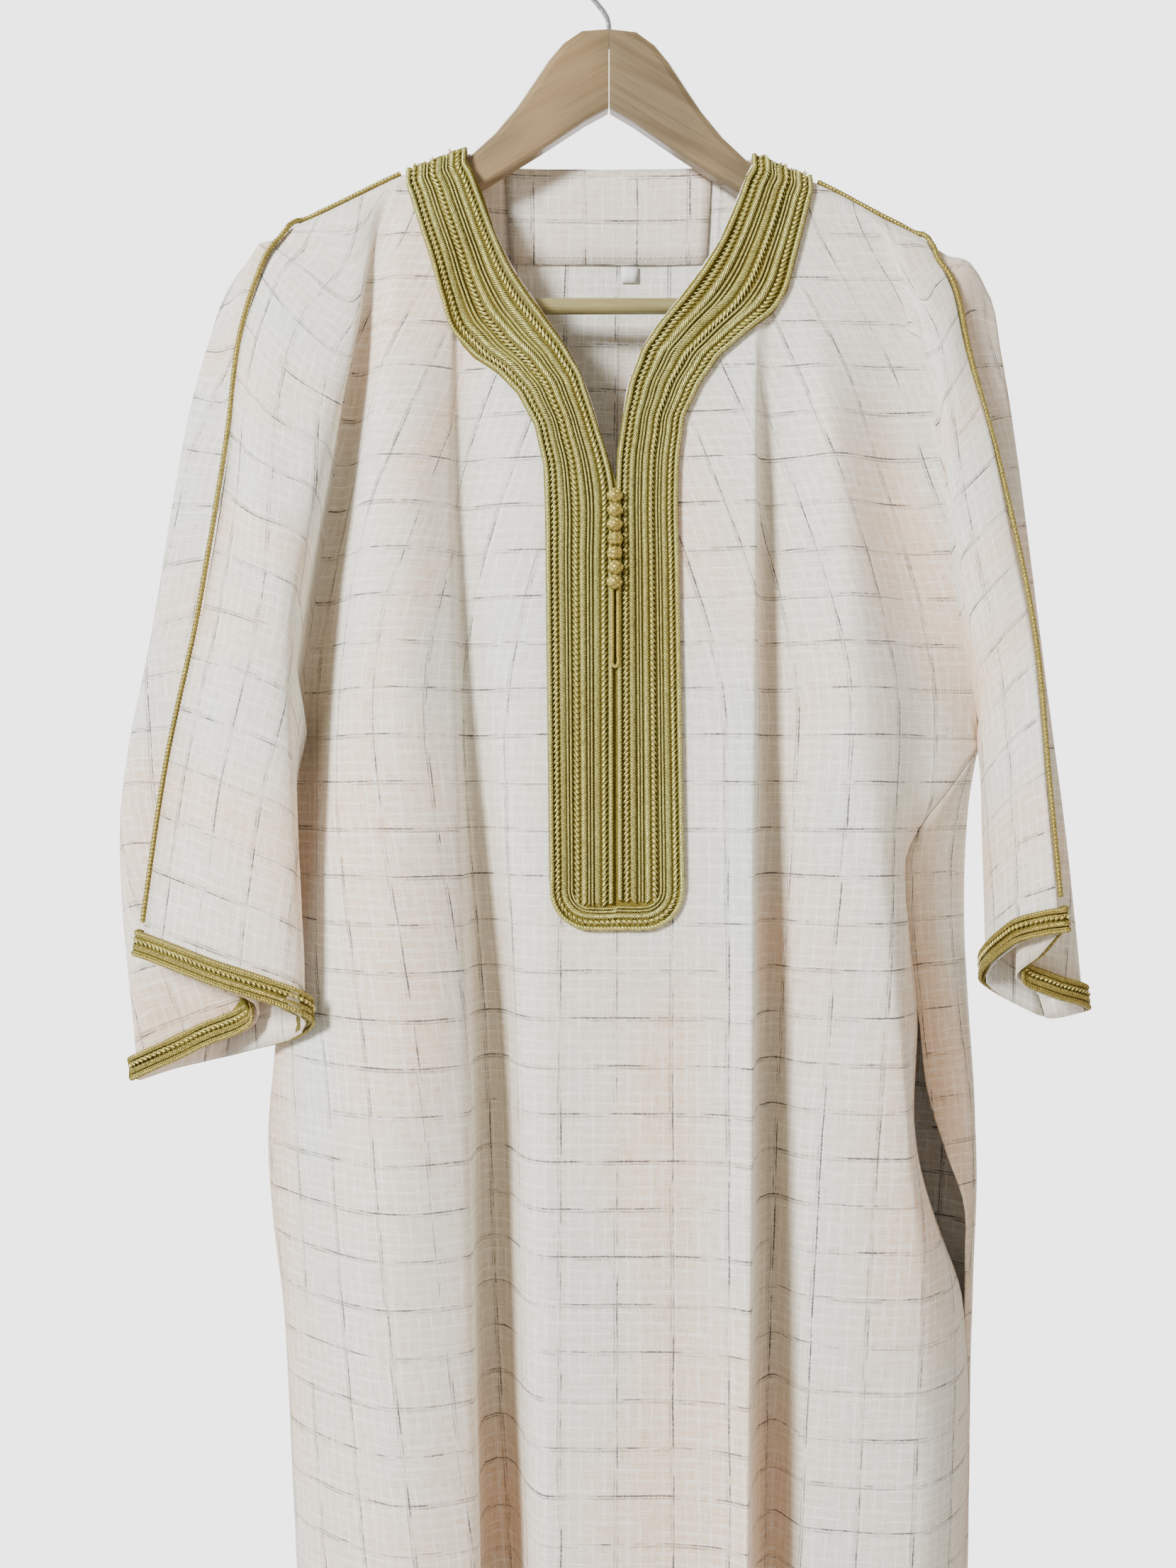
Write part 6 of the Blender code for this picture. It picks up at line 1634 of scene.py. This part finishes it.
def cuff_lines(side, table, shares, step):
    """Closed lines round one cuff at some shares of the braid's width from its upper edge."""
    low = sleeve_loop(side, table, LAST_STATION)
    high = sleeve_loop(side, table, sleeve_stations()[1][-3])
    lines = []
    for share in shares:
        places, outs = [], []
        for i in range(len(low)):
            rise = high[i] - low[i]
            rise = rise / np.linalg.norm(rise)
            out = even_outward(low[i - 1], low[i], low[(i + 1) % len(low)], rise)
            places.append(low[i] + rise * (1 - share) * CUFF_BAND + out * (WALL / 2 + CUFF_LIE + CUFF_RISE))
            outs.append(out)
        both = np.concatenate([np.array(places), np.array(outs)], axis=1)
        both = np.concatenate([both, both[:1]])
        even = smooth_line(both, step, closed=True)
        lines.append((even[:-1, :3], even[:-1, 3:]))
    return lines


cuff_spots, cuff_picots, cuff_chain_spots, cuff_cords = {}, {}, {"left": [], "right": []}, {}
for side, table in (("left", SLEEVE_LEFT), ("right", SLEEVE_RIGHT)):
    places, outs = cuff_lines(side, table, (0.5,), HERRING_STEP)[0]
    cuff_spots[side], cuff_picots[side] = herringbone(path_axes(places, outs, True), side == "left", 1.0, 1)
    for places, outs in cuff_lines(side, table, (0.25, 0.75), CHAIN_STEP):
        cuff_chain_spots[side] += chain(path_axes(places, outs, True))
    cuff_cords[side] = [places for places, _ in cuff_lines(side, table, (0.1, 0.91), 0.6)]
cuff_pieces = {}
for side in ("left", "right"):
    cuff_pieces[side] = [
        ground_copy("cuff_ground_" + side, "cuff_braid_" + side, gold_ground_and_shade, 0.4),
        scatter("cuff_herringbone_" + side, cuff_spots[side], herring_thread, CUFF_WARM),
        # The cuffs' picot threads, in the paler gold of a painted highlight.
        scatter("cuff_picots_" + side, cuff_picots[side], herring_thread, picot_painted_glint),
        scatter("cuff_chains_" + side, cuff_chain_spots[side], chain_thread, CUFF_WARM),
        twisted_cord("cuff_cords_" + side, cuff_cords[side], 1.35, 3.6, CUFF_WARM, cyclic=True)]

# %% [markdown]
# A thin twisted cord is stitched along each shoulder seam and on down the fold of the sleeve.
# Below the knots a doubled cord lies on the placket, and seven woven knots close it.

# %% Shoulder cords
CORD_RADIUS = 1.4
CORD_START_X = 124.0    # the cord along the shoulder starts beside the neck braid
CORD_ON_ARM = 1.3       # the station down to which the cord lies on the board
CORD_SHORT = 4.0        # how far it stops above the cuff's braid
LIE = 0.35              # clear space under a piece that lies on the cloth
TOUCH = 0.02            # a shortfall of clear space too small to mend
CORD_PASSES = 4         # rounds of moving a cord off the cloth
CORD_FULL, CORD_PITCH = 1.22, 4.6   # the twisted cord's radius over the solid's, and its pitch


def board_outward(p):
    """Direction straight away from the hanger's boards at a point in millimetres."""
    near, normal, _, away = board_tree.find_nearest(Vector(p) * MM)
    way = Vector(p) * MM - near
    return np.array(way.normalized() if way.dot(normal) > 0 and away > TOO_NEAR else normal)


def cut_short(route, length):
    """A route with a length taken off its end."""
    route = list(route)
    while np.linalg.norm(route[-1] - route[-2]) < length:
        length -= np.linalg.norm(route[-1] - route[-2])
        route.pop()
    last = route[-1] - route[-2]
    route[-1] = route[-1] - last / np.linalg.norm(last) * length
    return route


def seam_route(side, fronts, backs):
    """Points of the cord over the shoulder seam and down the crease between the sleeve's two rows."""
    lift = WALL / 2 + LIE + CORD_RADIUS
    sign = -1 if side == "left" else 1
    edge, beside = (0, 1) if side == "left" else (-1, -2)
    stations = [s for part in sleeve_stations() for s in part]
    route = []
    for x in np.linspace(CORD_START_X, abs(fronts[0][edge][0]), 6):
        top = off_board(ridge(sign * x), WALL / 2 + ARM_CLEAR)
        route.append(top + board_outward(top) * lift)
    creases = [(f[edge] + b[-1 - edge]) / 2 for f, b in zip(fronts, backs)]
    for i in range(1, len(stations)):
        front, back, crease = fronts[i], backs[i], creases[i]
        steps = []
        corners = []
        for row, end, inside in ((front, edge, beside), (back, -1 - edge, -1 - beside)):
            step = row[end] - row[inside]
            step = step / np.linalg.norm(step)
            steps.append(step)
            corners += [row[end], row[end] - step * CORD_RADIUS]
        along = creases[min(i + 1, len(creases) - 1)] - creases[i - 1]
        normal = np.cross(steps[0] - steps[1], along)
        normal = normal / max(np.linalg.norm(normal), 1e-6)
        if normal @ (crease - np.mean([*front, *back], axis=0)) < 0:
            normal = -normal
        away = steps[0] + steps[1]
        away = away + normal * (2 - np.linalg.norm(away))
        share = min(max(stations[i] - CORD_ON_ARM, 0), 1)
        way = away * share + board_outward(crease) * (1 - share)
        way = way / np.linalg.norm(way)
        proud = max((p - crease) @ way for p in corners)
        route.append(crease + way * (lift + max(proud, 0)))
    return off_cloth(cut_short(route, CUFF_BAND + CORD_SHORT), surface_tree([fronts, backs]), lift)


def off_cloth(route, tree, clear):
    """A cord's route, moved away from the cloth until all of it is `clear` from its middle."""
    for _ in range(CORD_PASSES):
        pushes = [np.zeros(3) for _ in route]
        for i in range(len(route) - 1):
            for share in (0, 0.2, 0.4, 0.6, 0.8, 1):
                here = route[i] + (route[i + 1] - route[i]) * share
                near, _, _, away = tree.find_nearest(Vector(here))
                if away < clear - TOUCH:
                    push = (here - np.array(near)) / max(away, 1e-6) * (clear - away)
                    for k in (i, i + 1) if 0 < share < 1 else (i + round(share),):
                        if np.linalg.norm(push) > np.linalg.norm(pushes[k]):
                            pushes[k] = push
        if not any(p.any() for p in pushes):
            break
        route = [p + push for p, push in zip(route, pushes)]
    return route


shoulder_cords = {}
for side, place in (("left", 2), ("right", 3)):
    route = smooth_line(seam_route(side, front_grids[place], back_grids[place]), 0.7)
    shoulder_cords[side] = twisted_cord("shoulder_cord_" + side, [route], CORD_RADIUS * CORD_FULL,
                                        CORD_PITCH, CUFF_WARM)

# %% Doubled cord on the placket
LOOP_TOP_Z, LOOP_FOOT_Z = -401.5, -446.0
LOOP_HALF = 1.75        # half the space between the two legs' middles
LOOP_WIRE = 1.3
LOOP_OVER = 0.5         # clear space between it and the herringbone
flat = [(PLACKET_MIDDLE - LOOP_HALF, z) for z in np.linspace(LOOP_TOP_Z, LOOP_FOOT_Z + LOOP_HALF, 9)]
flat += [(PLACKET_MIDDLE - LOOP_HALF * math.cos(a), LOOP_FOOT_Z + LOOP_HALF - LOOP_HALF * math.sin(a))
         for a in (math.radians(d) for d in (30, 60, 90, 120, 150))]
flat += [(2 * PLACKET_MIDDLE - x, z) for x, z in reversed(flat[:9])]


def on_sheet(x, z, lift):
    """Place over the braid's high surface at (x, z), in millimetres."""
    near = high_tree.find_nearest(Vector((x, sheets[-1][-1][-1][1], z)))[0]
    return np.array([x, near.y - lift, z])


loop = smooth_line([on_sheet(x, z, LOOP_OVER + LOOP_WIRE) for x, z in flat], 0.4)
placket_loop = twisted_cord("placket_loop_cord", [loop], LOOP_WIRE, 3.4, gold_cord)

# %% Woven knots
KNOT_RADIUS = 3.9           # of the ball under its threads
STRAP = math.radians(46)    # how much of the ball one strap of threads covers
STRAP_HIGH, THREAD_HIGH, KNOT_SINK = 0.95, 0.24, 0.55
KNOT_TURNS = (45, 38, 52, 4, 86, 48, 41)    # how each ball is turned, in degrees
KNOT_FORM = (1.1, 0.95, 1.0)                # its size across, out of the cloth and up


def knot_height(way, turn):
    """How far a woven ball stands out in a direction: straps of three threads, over and under."""
    x, y, z = Matrix.Rotation(turn, 3, "Y") @ way
    a, b = math.atan2(x, abs(y) + 0.25), math.atan2(z, abs(y) + 0.25)
    cell_a, cell_b = a / STRAP + 0.5, b / STRAP + 0.5
    fa, fb = cell_a - math.floor(cell_a), cell_b - math.floor(cell_b)
    over, run = (fa, fb) if (math.floor(cell_a) + math.floor(cell_b)) % 2 else (fb, fa)
    round_over = math.sqrt(max(1 - (2 * over - 1) ** 2, 0))
    dive = 1 - 0.8 * (2 * run - 1) ** 2
    return STRAP_HIGH * round_over * dive + THREAD_HIGH * abs(math.sin(3 * math.pi * over)) - KNOT_SINK


knots = []
for i, degrees in enumerate(KNOT_TURNS):
    seat = Vector(np.mean([v.co for v in frame["nodes"][f"knot_{i + 1}"].data.vertices], axis=0))
    turn = math.radians(degrees)
    bm = bmesh.new()
    bmesh.ops.create_icosphere(bm, subdivisions=5, radius=1)
    for vertex in bm.verts:
        way = vertex.co.normalized()
        reach = (KNOT_RADIUS + knot_height(way, turn)) * MM
        vertex.co = Vector([w * f for w, f in zip(way, KNOT_FORM)]) * reach + seat
    knots.append(add_mesh(f"woven_knot_{i + 1}", bm, gold_cord))
print("knots", len(knots))

# %% [markdown]
# Inside the back neck lie the facing, of the same cloth and stitched down along its foot, and
# the small bare label. Fine stitches also run along the hem.

# %% Facing and label
def weave_from_place(obj, shift=(0.0, 0.0)):
    """Weave coordinates straight from the points' x and z."""
    layer = obj.data.uv_layers.new(name="weave")
    for loop in obj.data.loops:
        co = obj.data.vertices[loop.vertex_index].co
        layer.data[loop.index].uv = (co.x + shift[0], co.z + shift[1])


facing = ground_copy("neck_facing", "back_neck_facing", facing_cloth, 0.0)
weave_from_place(facing, (0.011, 0.006))
label_cloth, net, shader = new_material("label_cloth")
tape = net.tree.nodes.new("ShaderNodeTexCoord").outputs["Object"]
x, _, z = net.split(tape)
ribs = net.math("SINE", net.times(z, 9000.0))
ribbed = net.mix(net.ramp(ribs, -1.0, 1.0, 0.0, 0.25), linear(240, 240, 238), linear(214, 214, 212))
net.put(shader.inputs["Base Color"], ribbed)
shader.inputs["Roughness"].default_value = 0.7
label = ground_copy("bare_label", "size_label", label_cloth, 0.0)

# %% Stitches
STITCH_LONG, STITCH_STEP = 2.2, 3.1
thread_white = gold_material("sewing_thread", linear(240, 236, 228), linear(200, 194, 184),
                             linear(236, 226, 212), 0.0)
stitch_mesh = thread_mesh("stitch", STITCH_LONG * MM, 0.42 * MM, 0.36 * MM, 2, 5)


def skin_tree(obj):
    """A search tree over a skin as it was made, in metres."""
    mesh = obj.data
    return BVHTree.FromPolygons([v.co for v in mesh.vertices], [p.vertices for p in mesh.polygons])


def stitch_row(tree, points, face):
    """Spots of stitches on a surface along (x, z) points in millimetres, seen from face in Y."""
    spots = []
    flat = smooth_line(points, STITCH_STEP)
    for a, b in zip(flat, flat[1:]):
        x, z = (a + b) / 2
        hit, normal, _, _ = tree.ray_cast(Vector((x, 300 * face, z)) * MM, Vector((0, -face, 0)))
        if hit is None:
            continue
        out = np.array(normal if normal.y * face > 0 else -normal)
        along = np.array([b[0] - a[0], 0, b[1] - a[1]])
        along = along - out * (along @ out)
        along = along / np.linalg.norm(along)
        place = np.array(hit) + out * (CLOTH_THICK / 2 + 0.0001)
        spots.append((Vector(place), (tuple(along), tuple(np.cross(out, along)), tuple(out)), (1, 1, 1)))
    return spots


front_tree, back_tree = skin_tree(robe_front), skin_tree(robe_back)
facing_tree = node_tree_of("back_neck_facing")
FACING_HALF, FACING_FOOT = 58.0, -194.0
STITCH_IN = 4.0         # distance of the stitches from the facing's foot
HEM_FOLD = 22.0         # height of the hem's stitches above its edge
facing_line = [(x, FACING_FOOT + STITCH_IN) for x in (-FACING_HALF, 0, FACING_HALF)]
facing_row = stitch_row(facing_tree, facing_line, -1)
facing_stitches = scatter("facing_stitches", facing_row, stitch_mesh, thread_white)
hem_line = [(x, HEM_Z + HEM_FOLD) for x in np.linspace(-205, 222, 12)]
hem_front, hem_back = stitch_row(front_tree, hem_line, -1), stitch_row(back_tree, hem_line, 1)
hem_front_stitches = scatter("hem_front_stitches", hem_front, stitch_mesh, thread_white)
hem_back_stitches = scatter("hem_back_stitches", hem_back, stitch_mesh, thread_white)

# %% [markdown]
# The hanger is pale lacquered wood. Its grain runs along each board and the bar, with fine
# pores and soft darker streaks, and the hook is bright steel.

# %% Wood and steel
def wood_grain():
    """Colour and height of pale wood from a place; the grain runs along X."""
    tree, net, given, out = node_group(
        "wood_grain",
        [("Place", "Vector", None), ("Light", "Color", (0.6, 0.4, 0.2, 1)),
         ("Dark", "Color", (0.4, 0.25, 0.1, 1)),
         ("Slope", "Float", 0.0)],
        [("Color", "Color"), ("Height", "Float")])
    x, y, z = net.split(given["Place"])
    across_grain = net.plus(z, net.times(net.math("ABSOLUTE", x), given["Slope"]))

    def grain(along, over, *rest):
        """Noise stretched along the grain."""
        place = net.join(net.times(x, along), net.times(y, over), net.times(across_grain, over))
        return net.noise(place, *rest)

    broad, fine = grain(9.0, 160.0, 1.0, 3.0, 0.6), grain(60.0, 900.0, 1.0, 2.0)
    slow = net.noise(given["Place"], 9.0, 2.0)
    colour = net.mix(net.ramp(broad, 0.35, 0.68, 0.0, 0.65), given["Light"], given["Dark"])
    colour = net.mix(net.ramp(fine, 0.58, 0.75, 0.0, 0.35), colour, given["Dark"])
    colour = net.mix(net.ramp(slow, 0.4, 0.7, 0.0, 0.25), colour, linear(206, 168, 118))
    net.put(out["Color"], colour)
    net.put(out["Height"], fine)
    return tree


wood_group = wood_grain()


def wood_material(name, light, dark, slope):
    """Lacquered wood in one of its tones."""
    made, net, shader = new_material(name)
    wood = use_group(net, wood_group)
    net.put(wood.inputs["Place"], net.tree.nodes.new("ShaderNodeTexCoord").outputs["Object"])
    set_values(wood, Light=light, Dark=dark, Slope=slope)
    net.put(shader.inputs["Base Color"], wood.outputs["Color"])
    net.bump(shader, wood.outputs["Height"], 0.15, 0.0002)
    set_values(shader, Roughness=0.38, Coat_Weight=0.25)
    return made


steel, net, shader = new_material("hook_steel")
steel_place = net.tree.nodes.new("ShaderNodeTexCoord").outputs["Object"]
net.put(shader.inputs["Roughness"], net.ramp(net.noise(steel_place, 700.0, 2.0), 0.3, 0.7, 0.18, 0.34))
set_values(shader, Metallic=1.0, Base_Color=linear(206, 208, 212))
board_wood = wood_material("board_wood", linear(118, 101, 74), linear(82, 67, 46), 0.62)
rod_wood = wood_material("rod_wood", linear(156, 147, 100), linear(124, 111, 70), 0.0)
for node, look in (("hanger_arm_left", board_wood), ("hanger_arm_right", board_wood),
                   ("hanger_bar", rod_wood), ("hanger_hook", steel)):
    slots = frame["nodes"][node].data.materials
    for k in range(len(slots)):
        slots[k] = look
    if not slots:
        slots.append(look)

# %% [markdown]
# Each piece rides on the frame's one body and takes the place of its solids.

# %% Hand the pieces to the frame
def hand_over(piece, slot, *nodes):
    """Rides the root and replaces its nodes; the slot is not used."""
    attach(piece, "root")
    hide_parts(*nodes)


hand_over(robe_front, "robe_cloth", "front_panel", "sleeve_left_front", "sleeve_right_front")
hand_over(robe_back, "robe_cloth", "back_panel", "sleeve_left_back", "sleeve_right_back")
for piece in (neck_ground, neck_herringbone, neck_picots, neck_chains, neck_cords):
    hand_over(piece, "gold_braid", "neck_braid")
for side in ("left", "right"):
    for piece in cuff_pieces[side]:
        hand_over(piece, "gold_braid", "cuff_braid_" + side)
    hand_over(shoulder_cords[side], "gold_cord", "shoulder_cord_" + side)
hand_over(placket_loop, "gold_cord", "placket_loop")
for number, piece in enumerate(knots):
    hand_over(piece, "gold_cord", f"knot_{number + 1}")
hand_over(facing, "inner_facing", "back_neck_facing")
hand_over(facing_stitches, "inner_facing", "back_neck_facing")
hand_over(label, "label_tape", "size_label")
hand_over(hem_front_stitches, "robe_cloth", "front_panel")
hand_over(hem_back_stitches, "robe_cloth", "back_panel")
